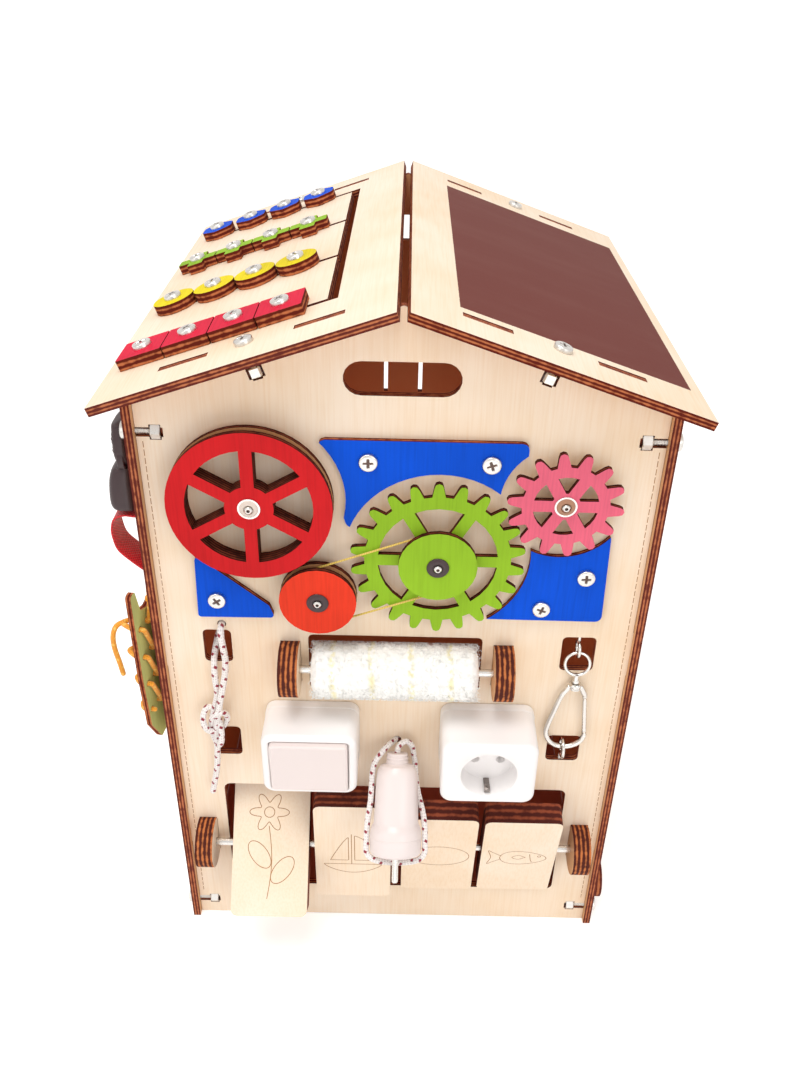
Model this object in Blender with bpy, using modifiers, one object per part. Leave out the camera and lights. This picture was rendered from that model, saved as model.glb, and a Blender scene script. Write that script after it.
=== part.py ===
"""Activity house in birch plywood with wheels, gears, roller, blocks, sliding shapes and laces.

Metres, +Z up. X runs across the front, Y runs into the house, and the house stands on its wall edges.
The origin is on the floor, in the middle of the house's box (cords and what hangs on them left out).
Pieces are placed in the house frame, whose Y is zero at the front edges of the side walls.
"""

from math import atan2, ceil, cos, pi, radians, sin, sqrt, tan

import bmesh
import bpy
from mathutils import Matrix, Vector
from mathutils.geometry import delaunay_2d_cdt

# Carcass
PLY = 0.006
HOUSE_WIDTH = 0.350
HOUSE_DEPTH = 0.3625
EDGE_PROUD = 0.00525
ROOF_PITCH_DEGREES = 19.0
RIDGE_HEIGHT = 0.5626
RIDGE_GAP = 0.008
ROOF_SLOPE_LENGTH = 0.196
ROOF_OVERHANG_FRONT = 0.0215
ROOF_OVERHANG_REAR = 0.018
SEAT_GAP = 0.0003
FIT = 0.0003
OVERRUN = 0.004
ROUTE_STEP_SHARE = 3.0
STRAP_STEP_SHARE = 2.0
LACE_STEP_SHARE = 2.2
GATE_STEP_SHARE = 6.0

# Joints between the plates: tabs, and slots for a bolt with its square nut
ROOF_TAB_CENTRES = (0.049, 0.138)
ROOF_TAB_LENGTH = 0.032
WALL_TAB_CENTRES = (0.300, 0.110)
WALL_TAB_LENGTH = 0.040
ROOF_BOLT_AT = 0.0975
WALL_BOLT_HEIGHTS = (0.471, 0.017)
BOLT_RADIUS = 0.003
NUT_ACROSS = 0.010
NUT_THICKNESS = 0.0070
NUT_DEPTH = 0.009
BOLT_SLOT_DEPTH = 0.0175

# Holes of the front and rear panels, in x and z
HANDLE_HEIGHT = 0.5107
HANDLE_LENGTH = 0.0736
HANDLE_WIDTH = 0.0226
REAR_SLIT_CENTRES = (-0.018, 0.016)
REAR_SLIT_WIDTH = 0.004
REAR_SLIT_LOW = 0.350
REAR_SLIT_HIGH = 0.420
ROPE_HOLE = (-0.126, 0.3200)
ROPE_HOLE_RADIUS = 0.0032
ROPE_WINDOW = (-0.1405, 0.2855, -0.1200, 0.3145)
KNOT_WINDOW = (-0.1410, 0.1920, -0.1195, 0.2210)
SWIVEL_WINDOW = (0.1190, 0.2840, 0.1436, 0.3146)
HOOK_WINDOW = (0.1175, 0.1930, 0.1428, 0.2190)
WINDOW_CORNER = 0.0035
BLOCK_WINDOW_CORNER = 0.00525
PLUG_HOLE = (0.0012, 0.2115)
PLUG_HOLE_RADIUS = 0.0032

# Wheels and gears, in layers of thin ply in front of the front panel
WHEEL_PLY = 0.004
WHEEL_STAND = 0.0055
AXLE_RADIUS = 0.003
AXLE_FIT = 0.0003
AXLE_WASHER_RADIUS = 0.0068
AXLE_WASHER_THICKNESS = 0.0012
AXLE_HEAD_RADIUS = 0.0050
AXLE_HEAD_HEIGHT = 0.0026
DOME_SHARES = (0.6, 0.8)
AXLE_SPACER_RADIUS = 0.0060
AXLE_NUT_RADIUS = 0.0055
AXLE_NUT_HEIGHT = 0.0045
LARGE_WHEEL_AT = (-0.0972, 0.4265)
LARGE_WHEEL_RADIUS = 0.0540
LARGE_WHEEL_GROOVE = 0.0035
LARGE_WHEEL_RIM = 0.0125
LARGE_WHEEL_HUB = 0.0160
LARGE_WHEEL_SPOKE = 0.0085
LARGE_WHEEL_WINDOWS = 6
SMALL_PULLEY_AT = (-0.0550, 0.3530)
PULLEY_RADIUS = 0.0265
PULLEY_GROOVE = 0.0045
GREEN_GEAR_AT = (0.0260, 0.3840)
GREEN_TEETH = 22
PINK_TEETH = 14
GEAR_CENTRE_DISTANCE = 0.0930
PINK_DIRECTION_DEGREES = 28.6
GREEN_PHASE_DEGREES = 91.0
TOOTH_TIP_ADDENDUM = 0.0024
TOOTH_DEPTH = 0.0098
TOOTH_ROOT_HALF = 0.0044
TOOTH_TIP_HALF = 0.0030
GREEN_WINDOW_OUTER = 0.0405
GREEN_WINDOW_INNER = 0.0200
GREEN_SPOKE = 0.0085
PINK_WINDOW_OUTER = 0.0215
PINK_WINDOW_INNER = 0.0098
PINK_SPOKE = 0.0085
GEAR_WINDOWS = 6
HUB_BORE_SHARE = 0.9
BAND_RADIUS = 0.00075
BAND_SEAT = 0.0003

# Blue plates screwed to the front panel, as outlines in x and z, with bays round the wheels
PLATE_PLY = 0.004
PLATE_CORNER = 0.0045
PLATE_GEAR_BAY = 0.0040
PLATE_WHEEL_BAY = 0.0075
TOP_PLATE = ((-0.0545, 0.4705), (0.0815, 0.4705), (0.0806, 0.4380), (0.0400, 0.4050), (-0.0350, 0.4060))
LEFT_PLATE = ((-0.1393, 0.3815), (-0.1410, 0.3290), (-0.0868, 0.3295), (-0.0905, 0.3400))
RIGHT_PLATE = ((0.1415, 0.4050), (0.1435, 0.3320), (0.0585, 0.3325), (0.0560, 0.3800), (0.0900, 0.4100))

# Roller with its two laminated cheeks
ROLLER_AT = (-0.0015, 0.2870)
ROLLER_RADIUS = 0.0205
ROLLER_LENGTH = 0.1215
ROLLER_END_ROUND = 0.0030
AXLE_STAND = 0.0090
ROLLER_WINDOW_LENGTH = 0.1260
ROLLER_WINDOW_HEIGHT = 0.0500
ROD_RADIUS = 0.0030
CHEEK_RADIUS = 0.0205
CHEEK_THICKNESS = 0.0140
ROLLER_CHEEK_CENTRES = (-0.0775, 0.0770)

# Picture blocks on one axle in the lower window
BLOCK_WINDOW = (-0.1369, 0.0390, 0.1377, 0.1595)
BLOCK_AXLE_HEIGHT = 0.1010
BLOCK_HEIGHT = 0.1140
BLOCK_THICKNESS = 0.0180
BLOCK_CORNER = 0.0050
BLOCK_EDGES = ((-0.1310, -0.0690), (-0.0640, -0.0020), (0.0070, 0.0670), (0.0720, 0.1330))
BLOCK_TILT_DEGREES = (38.0, -3.0, -12.0, -13.0)
BLOCK_CHEEK_CENTRES = (-0.1530, 0.1530)

# Switch, socket and plug
BOX_WALL = 0.0030
BOX_ROUND = 0.0060
SWITCH_AT = (-0.0630, 0.2205)
SWITCH_WIDTH = 0.0700
SWITCH_HEIGHT = 0.0570
SWITCH_DEPTH = 0.0400
ROCKER_WIDTH = 0.0570
ROCKER_HEIGHT = 0.0460
ROCKER_THICKNESS = 0.0080
ROCKER_ROUND = 0.0016
ROCKER_PROUD = 0.0030
ROCKER_FIT = 0.0007
ROCKER_TILT_DEGREES = 3.0
SOCKET_AT = (0.0690, 0.2210)
SOCKET_WIDTH = 0.0700
SOCKET_HEIGHT = 0.0580
SOCKET_DEPTH = 0.0460
SOCKET_RECESS_RADIUS = 0.0205
SOCKET_RECESS_DEPTH = 0.0170
SOCKET_PIN_HOLE_RADIUS = 0.0028
PIN_SPACING = 0.0190
PLUG_TOP = (0.0018, 0.0140, 0.2108)
PLUG_TILT_DEGREES = 35.0
PLUG_LENGTH = 0.0763
PLUG_BASE_RADIUS = 0.0195
PLUG_BASE_HEIGHT = 0.0230
PLUG_BODY_RADIUS = 0.0162
PLUG_NUB_RADIUS = 0.0085
PLUG_NUB_HEIGHT = 0.0090
PLUG_PIN_RADIUS = 0.0024
PLUG_PIN_LENGTH = 0.0190
PLUG_TURN_DEGREES = 90.0
NUB_TOP_SHARE = 0.85
PLUG_SHOULDER_SHARES = (0.85, 0.15)
PLUG_NECK_SHARE = 0.5
PLUG_WAIST_SHARES = (1.04, 1.25)
PLUG_RIM_SHARE = 0.85

# Cords, in the house frame
ROPE_RADIUS = 0.0024
KNOT_RADIUS = 0.0080
KNOT_AT = (-0.1355, -0.0050, 0.2302)
ROPE_ROUTE = (
    (-0.1442, -0.0030, 0.1594),
    (-0.1415, -0.0032, 0.1720),
    (-0.1391, -0.0035, 0.1839),
    (-0.1375, -0.0038, 0.1965),
    (-0.1367, -0.0042, 0.2075),
    (-0.1358, -0.0050, 0.2200),
    (-0.1352, -0.0055, 0.2320),
    (-0.1325, -0.0078, 0.2440),
    (-0.1303, -0.0075, 0.2561),
    (-0.1274, -0.0060, 0.2694),
    (-0.1250, -0.0035, 0.2823),
    (-0.1240, -0.0032, 0.2939),
    (-0.1250, -0.0034, 0.3060),
    (-0.1258, -0.0026, 0.3165),
    (-0.1260, 0.0005, 0.3198),
    (-0.1260, 0.0060, 0.3200),
    (-0.1260, 0.0120, 0.3200),
    (-0.1268, 0.0165, 0.3180),
    (-0.1295, 0.0180, 0.3090),
    (-0.1325, 0.0150, 0.2990),
    (-0.1338, 0.0092, 0.2918),
    (-0.1336, 0.0025, 0.2885),
    (-0.1334, -0.0012, 0.2800),
    (-0.1330, -0.0025, 0.2700),
    (-0.1325, -0.0025, 0.2608),
    (-0.1354, -0.0035, 0.2484),
    (-0.1375, -0.0045, 0.2400),
)
PLUG_CORD_RADIUS = 0.0022
PLUG_CORD_ROUTE = (
    (0.0012, 0.0300, 0.2020),
    (0.0012, 0.0200, 0.2085),
    (0.0012, 0.0130, 0.2114),
    (0.0012, 0.0060, 0.2115),
    (-0.0030, -0.0004, 0.2130),
    (-0.0080, -0.0068, 0.2128),
    (-0.0120, -0.0108, 0.2095),
    (-0.0157, -0.0133, 0.2042),
    (-0.0172, -0.0179, 0.1977),
    (-0.0174, -0.0248, 0.1879),
    (-0.0182, -0.0317, 0.1780),
    (-0.0197, -0.0374, 0.1698),
    (-0.0204, -0.0432, 0.1616),
    (-0.0204, -0.0483, 0.1543),
    (-0.0210, -0.0518, 0.1494),
    (-0.0168, -0.0548, 0.1451),
    (-0.0092, -0.0559, 0.1435),
    (-0.0012, -0.0562, 0.1430),
    (0.0048, -0.0562, 0.1430),
    (0.0128, -0.0559, 0.1435),
    (0.0204, -0.0548, 0.1451),
    (0.0246, -0.0518, 0.1494),
    (0.0240, -0.0483, 0.1543),
    (0.0240, -0.0415, 0.1605),
    (0.0228, -0.0314, 0.1681),
    (0.0193, -0.0208, 0.1753),
    (0.0168, -0.0123, 0.1839),
    (0.0158, -0.0054, 0.1938),
    (0.0143, -0.0021, 0.2038),
    (0.0128, -0.0018, 0.2120),
    (0.0078, -0.0025, 0.2180),
)
PLUG_CORD_ENTRY = 0.0050
PLUG_CORD_ENTRY_SHARES = (0.9, 0.1, -0.9)
LACE_RADIUS = 0.0019

# Screw eyes and snap hook
EYE_RADIUS = 0.0060
EYE_WIRE = 0.0012
TOP_EYE_AT = (0.1315, 0.0018, 0.3030)
LOWER_EYE_AT = (0.1290, -0.0020, 0.2085)
LOWER_EYE_RADIUS = 0.0075
LOWER_EYE_WIRE = 0.0013
EYE_SHANK_DEPTH = 0.0060
SWIVEL_RADIUS = 0.0090
SWIVEL_WIRE = 0.0012
SWIVEL_LEAN_DEGREES = 14.0
SWIVEL_STAND = 0.0052
SWIVEL_CENTRE_HEIGHT = 0.2926
SWIVEL_STEM_RADIUS = 0.0017
SWIVEL_BEAD_RADIUS = 0.0027
SWIVEL_BEAD_HEIGHT = 0.0022
SWIVEL_FOOT_RADIUS = 0.0023
SWIVEL_FOOT_HEIGHT = 0.0012
HOOK_COLLAR_RADIUS = 0.0046
HOOK_COLLAR_HEIGHT = 0.0055
HOOK_COLLAR_TOP = 0.2765
HOOK_WIRE = 0.0021
HOOK_LEAN_DEGREES = 1.5
HOOK_ROUTE = (
    (-0.0044, -0.0012),
    (-0.0056, -0.0038),
    (-0.0078, -0.0075),
    (-0.0100, -0.0135),
    (-0.0130, -0.0260),
    (-0.0160, -0.0390),
    (-0.0168, -0.0480),
    (-0.0140, -0.0560),
    (-0.0085, -0.0610),
    (-0.0015, -0.0625),
    (0.0055, -0.0605),
    (0.0105, -0.0560),
    (0.0125, -0.0500),
)
HOOK_SHOULDER = ((0.0044, -0.0012), (0.0060, -0.0042), (0.0080, -0.0085))
GATE_ENDS = ((0.0083, -0.0098), (0.0124, -0.0494))
GATE_WIRE = 0.0018

# Left wall: strap, buckle and lacing board
STRAP_WIDTH = 0.0245
STRAP_THICKNESS = 0.0014
STRAP_AT = 0.0245
STRAP_SLOT_HEIGHTS = (0.4800, 0.3570)
STRAP_SLOT_OPENING = 0.0050
STRAP_ROUTE = (
    (-0.1660, 0.4807),
    (-0.1720, 0.4808),
    (-0.1752, 0.4804),
    (-0.1769, 0.4782),
    (-0.1765, 0.4730),
    (-0.1764, 0.4400),
    (-0.1764, 0.4000),
    (-0.1766, 0.3680),
    (-0.1770, 0.3600),
    (-0.1755, 0.3567),
    (-0.1720, 0.3562),
    (-0.1660, 0.3562),
)
STRAP_LOOP = (
    (-0.1765, 0.4120),
    (-0.1765, 0.4075),
    (-0.1785, 0.4035),
    (-0.1850, 0.4030),
    (-0.1878, 0.3990),
    (-0.1881, 0.3930),
    (-0.1880, 0.3850),
    (-0.1866, 0.3760),
    (-0.1833, 0.3680),
    (-0.1795, 0.3615),
    (-0.1768, 0.3590),
)
BUCKLE_WIDTH = 0.0290
BUCKLE_LOW = 0.4075
BUCKLE_HIGH = 0.4720
BUCKLE_REACH = 0.0142
BUCKLE_SHARES = ((0.610, 1.00), (0.634, 0.61), (0.829, 0.50), (1.000, 0.14), (0.976, 0.00))
BUCKLE_INNER = 0.0028
BOARD_PLY = 0.0040
BOARD_DEPTH = 0.0560
BOARD_HINGE_Y = 0.0500
BOARD_STAND = 0.0020
BOARD_SWING_DEGREES = 8.3
BOARD_LOW = 0.2040
BOARD_HEIGHT = 0.1450
BOARD_OUTLINE_SHARES = (
    (0.0000, 1.0000),
    (0.1339, 1.0000),
    (0.2232, 0.8621),
    (0.4286, 0.8345),
    (0.9643, 0.8690),
    (1.0000, 0.2483),
    (0.8929, 0.0138),
    (0.3036, 0.0000),
    (0.0536, 0.1655),
    (0.0000, 0.4897),
)
BOARD_CORNER = 0.0030
BOARD_HOLE_RADIUS = 0.0024
BOARD_HOLE_COLUMNS = (0.0190, 0.0070)
BOARD_HOLE_ROWS = (0.3160, 0.2910, 0.2660, 0.2410)
LACE_HOLE = (0.0200, 0.3440)
LACE_HOLE_RADIUS = 0.0026
LACE_START = (
    (-0.1660, 0.0200, 0.3440),
    (-0.1750, 0.0200, 0.3440),
    (-0.1790, 0.0196, 0.3420),
    (-0.1790, 0.0170, 0.3320),
)
LACE_THROUGH_SHARES = (-1, -0.3, 0.3, 1)
LACE_DIAGONAL_SHARES = (0.1, 0.9)
LACE_BULGES = (0.0090, 0.0070, 0.0045, 0.0030)
LACE_TAIL = (
    (0.0000, 0.0000, 0.0000),
    (-0.0040, -0.0020, -0.0010),
    (-0.0075, -0.0030, -0.0090),
    (-0.0085, -0.0020, -0.0220),
    (-0.0070, -0.0010, -0.0360),
    (-0.0060, 0.0000, -0.0480),
)
LACE_KNOT_RADIUS = 0.0030

# Right wall: laminated disc knob
KNOB_AT = (0.0280, 0.0300)
KNOB_RADIUS = 0.0180
KNOB_THICKNESS = 0.0080
KNOB_PIN_RADIUS = 0.0030
KNOB_INNER_RADIUS = 0.0080
KNOB_INNER_THICKNESS = 0.0030

# Sliding shapes on the left roof
SLIDER_ROWS = (0.0410, 0.1355, 0.2300, 0.3245)
SLIDER_PITCH = 0.0316
SLIDER_LOWEST = 0.1700
SLIDER_COUNT = 4
SLIDER_SIZE = 0.0308
SLIDER_THICKNESS = 0.0072
SLIDER_SHANK = 0.0019
SLIDER_SLOT = 0.0046
SLIDER_WASHER = 0.0050
SLIDER_WASHER_THICKNESS = 0.0015
SLIDER_HEAD_RADIUS = 0.0060
SLIDER_HEAD_HEIGHT = 0.0028
SLIDER_RIM_SHARE = 0.15
SLIDER_SEAT_SHARES = (0.9, 0.1)
SLIDER_NECK_SHARE = 0.3
CHANNEL_AT = 0.0430
CHANNEL_WIDTH = 0.0074
SLIDER_CORNER = 0.0008
CROSS_ARM = 0.0062
HEX_ROUND = 0.0050

# Values worked out from the sizes above
PITCH = radians(ROOF_PITCH_DEGREES)
PANEL_FACE = EDGE_PROUD
REAR_FACE = HOUSE_DEPTH - EDGE_PROUD - PLY
WALL_INSIDE = HOUSE_WIDTH / 2 - PLY
TILT_REACHES = [
    AXLE_STAND + BLOCK_HEIGHT / 2 * abs(sin(radians(a))) + BLOCK_THICKNESS / 2 * cos(radians(a))
    for a in BLOCK_TILT_DEGREES
]
FRONT_REACH = max(TILT_REACHES + [SOCKET_DEPTH + SEAT_GAP, SWITCH_DEPTH + ROCKER_PROUD])
HOUSE_FRONT = PANEL_FACE - FRONT_REACH
HOUSE_REAR = HOUSE_DEPTH + ROOF_OVERHANG_REAR
HOUSE_SHIFT = -(HOUSE_FRONT + HOUSE_REAR) / 2
GREEN_PITCH_RADIUS = GEAR_CENTRE_DISTANCE * GREEN_TEETH / (GREEN_TEETH + PINK_TEETH)
PINK_PITCH_RADIUS = GEAR_CENTRE_DISTANCE - GREEN_PITCH_RADIUS
PINK_DIRECTION = radians(PINK_DIRECTION_DEGREES)
PINK_GEAR_AT = (
    GREEN_GEAR_AT[0] + GEAR_CENTRE_DISTANCE * cos(PINK_DIRECTION),
    GREEN_GEAR_AT[1] + GEAR_CENTRE_DISTANCE * sin(PINK_DIRECTION),
)
GREEN_PHASE = radians(GREEN_PHASE_DEGREES)
GREEN_OUTER = GREEN_PITCH_RADIUS + TOOTH_TIP_ADDENDUM
PINK_OUTER = PINK_PITCH_RADIUS + TOOTH_TIP_ADDENDUM
PULLEY_THICKNESS = 3 * WHEEL_PLY
BAND_STAND = WHEEL_STAND + 1.5 * WHEEL_PLY

# Fineness of round shapes
ROUND_STEPS = 28
SMALL_STEPS = 12
CORNER_STEPS = 3
TOOTH_TIP_STEPS = 4
BALL_RINGS = 8
MERGE = 0.00001
FILL_INSIDE = 1


def clear_scene():
    """Removes the objects that the file opened with."""
    for obj in list(bpy.data.objects):
        bpy.data.objects.remove(obj, do_unlink=True)


def new_collection(name):
    """A collection linked to the scene."""
    collection = bpy.data.collections.new(name)
    bpy.context.scene.collection.children.link(collection)
    return collection


clear_scene()
HOUSE_PARTS = new_collection("activity_house")
CUTTERS = new_collection("cutters")
HOUSE = bpy.data.objects.new("house_frame", None)
HOUSE.location = (0, HOUSE_SHIFT, 0)
HOUSE_PARTS.objects.link(HOUSE)


def new_material(name, colour, roughness, metallic=0.0):
    """A Principled material with one colour."""
    material = bpy.data.materials.new(name)
    material.use_nodes = True
    shader = material.node_tree.nodes["Principled BSDF"]
    shader.inputs["Base Color"].default_value = (*colour, 1.0)
    shader.inputs["Roughness"].default_value = roughness
    shader.inputs["Metallic"].default_value = metallic
    return material


PLYWOOD = new_material("birch_plywood", (0.90, 0.74, 0.55), 0.55)
RED = new_material("red_paint", (0.70, 0.02, 0.02), 0.5)
ORANGE = new_material("orange_red_paint", (0.86, 0.06, 0.02), 0.5)
GREEN = new_material("green_paint", (0.36, 0.60, 0.03), 0.5)
PINK = new_material("pink_paint", (0.90, 0.19, 0.32), 0.5)
BLUE = new_material("blue_paint", (0.01, 0.09, 0.67), 0.5)
YELLOW = new_material("yellow_paint", (0.90, 0.74, 0.01), 0.5)
OLIVE = new_material("olive_paint", (0.48, 0.57, 0.15), 0.5)
STEEL = new_material("zinc_plated_steel", (0.75, 0.74, 0.72), 0.3, 1.0)
FLEECE = new_material("white_fleece", (0.92, 0.90, 0.88), 0.95)
WHITE = new_material("white_plastic", (0.93, 0.91, 0.89), 0.25)
BLACK = new_material("black_plastic", (0.04, 0.02, 0.02), 0.45)
CORD = new_material("flecked_cord", (0.92, 0.86, 0.84), 0.8)
WEBBING = new_material("red_webbing", (0.65, 0.01, 0.02), 0.8)
LACE = new_material("orange_lace", (0.92, 0.29, 0.02), 0.8)
RUBBER = new_material("yellow_elastic", (0.86, 0.62, 0.14), 0.6)


def place_on_front(x, z, stand):
    """A frame on the front panel: local X is across, Y is up and Z points out of the house."""
    frame = Matrix(((1, 0, 0, x), (0, 0, -1, PANEL_FACE - stand), (0, 1, 0, z), (0, 0, 0, 1)))
    return frame


def place_on_wall(x):
    """A frame whose local X runs into the house, Y is up and Z points to +X."""
    return Matrix(((0, 0, 1, x), (1, 0, 0, 0), (0, 1, 0, 0), (0, 0, 0, 1)))


def place_on_roof(side, height):
    """A frame on a roof panel's top: local X is across, away from the ridge for the right panel."""
    slope = Matrix.Rotation(side * PITCH, 4, "Y")
    origin = Vector((side * RIDGE_GAP / 2, 0, RIDGE_HEIGHT))
    return Matrix.Translation(origin) @ slope @ Matrix.Translation((0, 0, height))


def link(obj, place, collection, material=None):
    """Puts an object in the house frame and gives it its material."""
    collection.objects.link(obj)
    obj.parent = HOUSE
    obj.matrix_basis = place
    if material:
        obj.data.materials.clear()
        obj.data.materials.append(material)
    return obj


def circle(centre, radius, steps=ROUND_STEPS, start=0.0):
    """A closed ring of points."""
    turns = [start + 2 * pi * k / steps for k in range(steps)]
    return [(centre[0] + radius * cos(t), centre[1] + radius * sin(t)) for t in turns]


def arc(centre, radius, first, last, steps):
    """Points on an arc from the first angle to the last, both included."""
    turns = [first + (last - first) * k / steps for k in range(steps + 1)]
    return [(centre[0] + radius * cos(t), centre[1] + radius * sin(t)) for t in turns]


def rounded(corners, radius, steps=CORNER_STEPS):
    """The closed outline of a polygon with each corner rounded to an arc."""
    points = []
    for k, corner in enumerate(corners):
        here = Vector(corner)
        back = (Vector(corners[k - 1]) - here).normalized()
        ahead = (Vector(corners[(k + 1) % len(corners)]) - here).normalized()
        half = back.angle(ahead) / 2
        centre = here + (back + ahead).normalized() * (radius / sin(half))
        start = here + back * (radius / tan(half)) - centre
        stop = here + ahead * (radius / tan(half)) - centre
        first = atan2(start.y, start.x)
        sweep = (atan2(stop.y, stop.x) - first + pi) % (2 * pi) - pi
        points += arc(centre, radius, first, first + sweep, steps)
    return points


def box_loop(low_x, low_y, high_x, high_y, radius):
    """A rectangle with rounded corners."""
    corners = ((low_x, low_y), (high_x, low_y), (high_x, high_y), (low_x, high_y))
    return rounded(corners, radius)


def box_round(centre, width, height, radius):
    """A rectangle with rounded corners round a centre."""
    x, y = centre
    return box_loop(x - width / 2, y - height / 2, x + width / 2, y + height / 2, radius)


def plain_box(centre, width, height):
    """A rectangle round a centre."""
    x, y = centre[0], centre[1]
    half_width, half_height = width / 2, height / 2
    return [
        (x - half_width, y - half_height),
        (x + half_width, y - half_height),
        (x + half_width, y + half_height),
        (x - half_width, y + half_height),
    ]


def in_plate(spot, loops):
    """Whether a place lies on a plate: a line from it crosses the outlines an odd number of times."""
    crossings = 0
    for loop in loops:
        for (ax, ay), (bx, by) in zip(loop, loop[1:] + loop[:1]):
            if (ay > spot.y) != (by > spot.y):
                crossings += ax + (spot.y - ay) * (bx - ax) / (by - ay) > spot.x
    return crossings % 2 == 1


def flat(name, loops, thickness, place, material=None, collection=None):
    """A plate from closed outlines: the first is its rim, the others are its holes."""
    points = [Vector(point) for loop in loops for point in loop]
    edges = []
    for loop in loops:
        first = len(edges)
        edges += [(first + k, first + (k + 1) % len(loop)) for k in range(len(loop))]
    spots, _, drawn, *_ = delaunay_2d_cdt(points, edges, [], FILL_INSIDE, MERGE)
    triangles = [t for t in drawn if in_plate((spots[t[0]] + spots[t[1]] + spots[t[2]]) / 3, loops)]
    count = len(spots)
    half = thickness / 2
    corners = [(x, y, half) for x, y in spots] + [(x, y, -half) for x, y in spots]
    runs = {(t[k - 1], t[k]) for t in triangles for k in range(3)}
    rim = [(a, b) for a, b in runs if (b, a) not in runs]
    faces = list(triangles) + [[k + count for k in reversed(t)] for t in triangles]
    faces += [(a, a + count, b + count, b) for a, b in sorted(rim)]
    mesh = bpy.data.meshes.new(name)
    mesh.from_pydata(corners, [], faces)
    return link(bpy.data.objects.new(name, mesh), place, collection or HOUSE_PARTS, material)


def turned(name, profile, place, material=None, steps=ROUND_STEPS, closed=False, collection=None):
    """A turned piece: its profile is radius and height, from the top down its outer side."""
    mesh = bpy.data.meshes.new(name)
    edges = [(k, k + 1) for k in range(len(profile) - 1)]
    if closed:
        edges.append((len(profile) - 1, 0))
    mesh.from_pydata([(radius, 0, height) for radius, height in profile], edges, [])
    obj = link(bpy.data.objects.new(name, mesh), place, collection or HOUSE_PARTS, material)
    screw = obj.modifiers.new("turn", "SCREW")
    screw.axis = "Z"
    screw.steps = steps
    screw.render_steps = steps
    screw.use_merge_vertices = True
    screw.merge_threshold = MERGE
    screw.use_smooth_shade = True
    return obj


def rod(name, radius, length, place, material=None, steps=SMALL_STEPS, collection=None):
    """A round rod along its local Z, centred on its place."""
    work = bmesh.new()
    bmesh.ops.create_cone(
        work, cap_ends=True, segments=steps, radius1=radius, radius2=radius, depth=length
    )
    mesh = bpy.data.meshes.new(name)
    work.to_mesh(mesh)
    work.free()
    return link(bpy.data.objects.new(name, mesh), place, collection or HOUSE_PARTS, material)


def block(name, size, place, material=None, round_over=0.0, collection=None):
    """A box round its place, with its edges rounded if asked."""
    work = bmesh.new()
    bmesh.ops.create_cube(work, size=1.0)
    bmesh.ops.scale(work, vec=size, verts=work.verts)
    mesh = bpy.data.meshes.new(name)
    work.to_mesh(mesh)
    work.free()
    obj = link(bpy.data.objects.new(name, mesh), place, collection or HOUSE_PARTS, material)
    if round_over:
        bevel = obj.modifiers.new("round_over", "BEVEL")
        bevel.width = round_over
        bevel.segments = 2
    return obj


def between(before, start, stop, after, share):
    """A place from start to stop, on a cubic whose slope at both comes from their neighbours."""
    slope = (stop - before) / 2
    last_slope = (after - start) / 2
    run = stop - start
    bend = (3 * run - 2 * slope - last_slope) * share**2
    return start + slope * share + bend + (slope + last_slope - 2 * run) * share**3


def smooth_path(points, spacing, looped=False):
    """Points on a smooth curve through the given ones, about one spacing apart."""
    knots = [Vector(p) for p in points]
    count = len(knots)
    path = []
    for k in range(count if looped else count - 1):
        a, b, c, d = (
            [knots[(k + step) % count] for step in (-1, 0, 1, 2)]
            if looped
            else [knots[max(k - 1, 0)], knots[k], knots[k + 1], knots[min(k + 2, count - 1)]]
        )
        steps = max(1, ceil((c - b).length / spacing))
        for step in range(steps):
            path.append(between(a, b, c, d, step / steps))
    if not looped:
        path.append(knots[-1])
    return path


def tube(name, path, radius, place, material=None, fine=2, looped=False, collection=None):
    """A round wire or cord along a path."""
    curve = bpy.data.curves.new(name, "CURVE")
    curve.dimensions = "3D"
    curve.bevel_depth = radius
    curve.bevel_resolution = fine
    curve.use_fill_caps = not looped
    curve.render_resolution_u = 0
    spline = curve.splines.new("POLY")
    spline.points.add(len(path) - 1)
    for point, at in zip(spline.points, path):
        point.co = (*at, 1)
    spline.use_cyclic_u = looped
    wire = link(bpy.data.objects.new(name, curve), place, collection or HOUSE_PARTS, material)
    weld = wire.modifiers.new("weld_caps", "WELD")
    weld.merge_threshold = MERGE
    return wire


def as_mesh(obj):
    """Turns a curve object into a closed mesh object of the same name and place."""
    bpy.context.view_layer.update()
    mesh = bpy.data.meshes.new_from_object(obj.evaluated_get(bpy.context.evaluated_depsgraph_get()))
    work = bmesh.new()
    work.from_mesh(mesh)
    bmesh.ops.remove_doubles(work, verts=work.verts, dist=MERGE)
    bmesh.ops.recalc_face_normals(work, faces=work.faces)
    work.to_mesh(mesh)
    work.free()
    name, place, collection = obj.name, obj.matrix_basis.copy(), obj.users_collection[0]
    curve = obj.data
    bpy.data.objects.remove(obj, do_unlink=True)
    bpy.data.curves.remove(curve)
    mesh.name = name
    return link(bpy.data.objects.new(name, mesh), place, collection)


def combine(obj, others, operation):
    """Joins other objects to one, or cuts them out of it, and hides them."""
    for other in others:
        boolean = obj.modifiers.new(other.name, "BOOLEAN")
        boolean.operation = operation
        boolean.object = other
        boolean.solver = "EXACT"
        other.hide_render = True
        other.display_type = "WIRE"
    return obj


def cut(obj, *cutters):
    """Cuts other objects out of one."""
    return combine(obj, cutters, "DIFFERENCE")


def fuse(obj, *others):
    """Joins other objects to one."""
    return combine(obj, others, "UNION")


def roof_point(side, down, height):
    """X and Z of a place on a roof panel: how far down its slope, and how high over its top face."""
    x = side * (RIDGE_GAP / 2 + down * cos(PITCH) + height * sin(PITCH))
    return (x, RIDGE_HEIGHT - down * sin(PITCH) + height * cos(PITCH))


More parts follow.
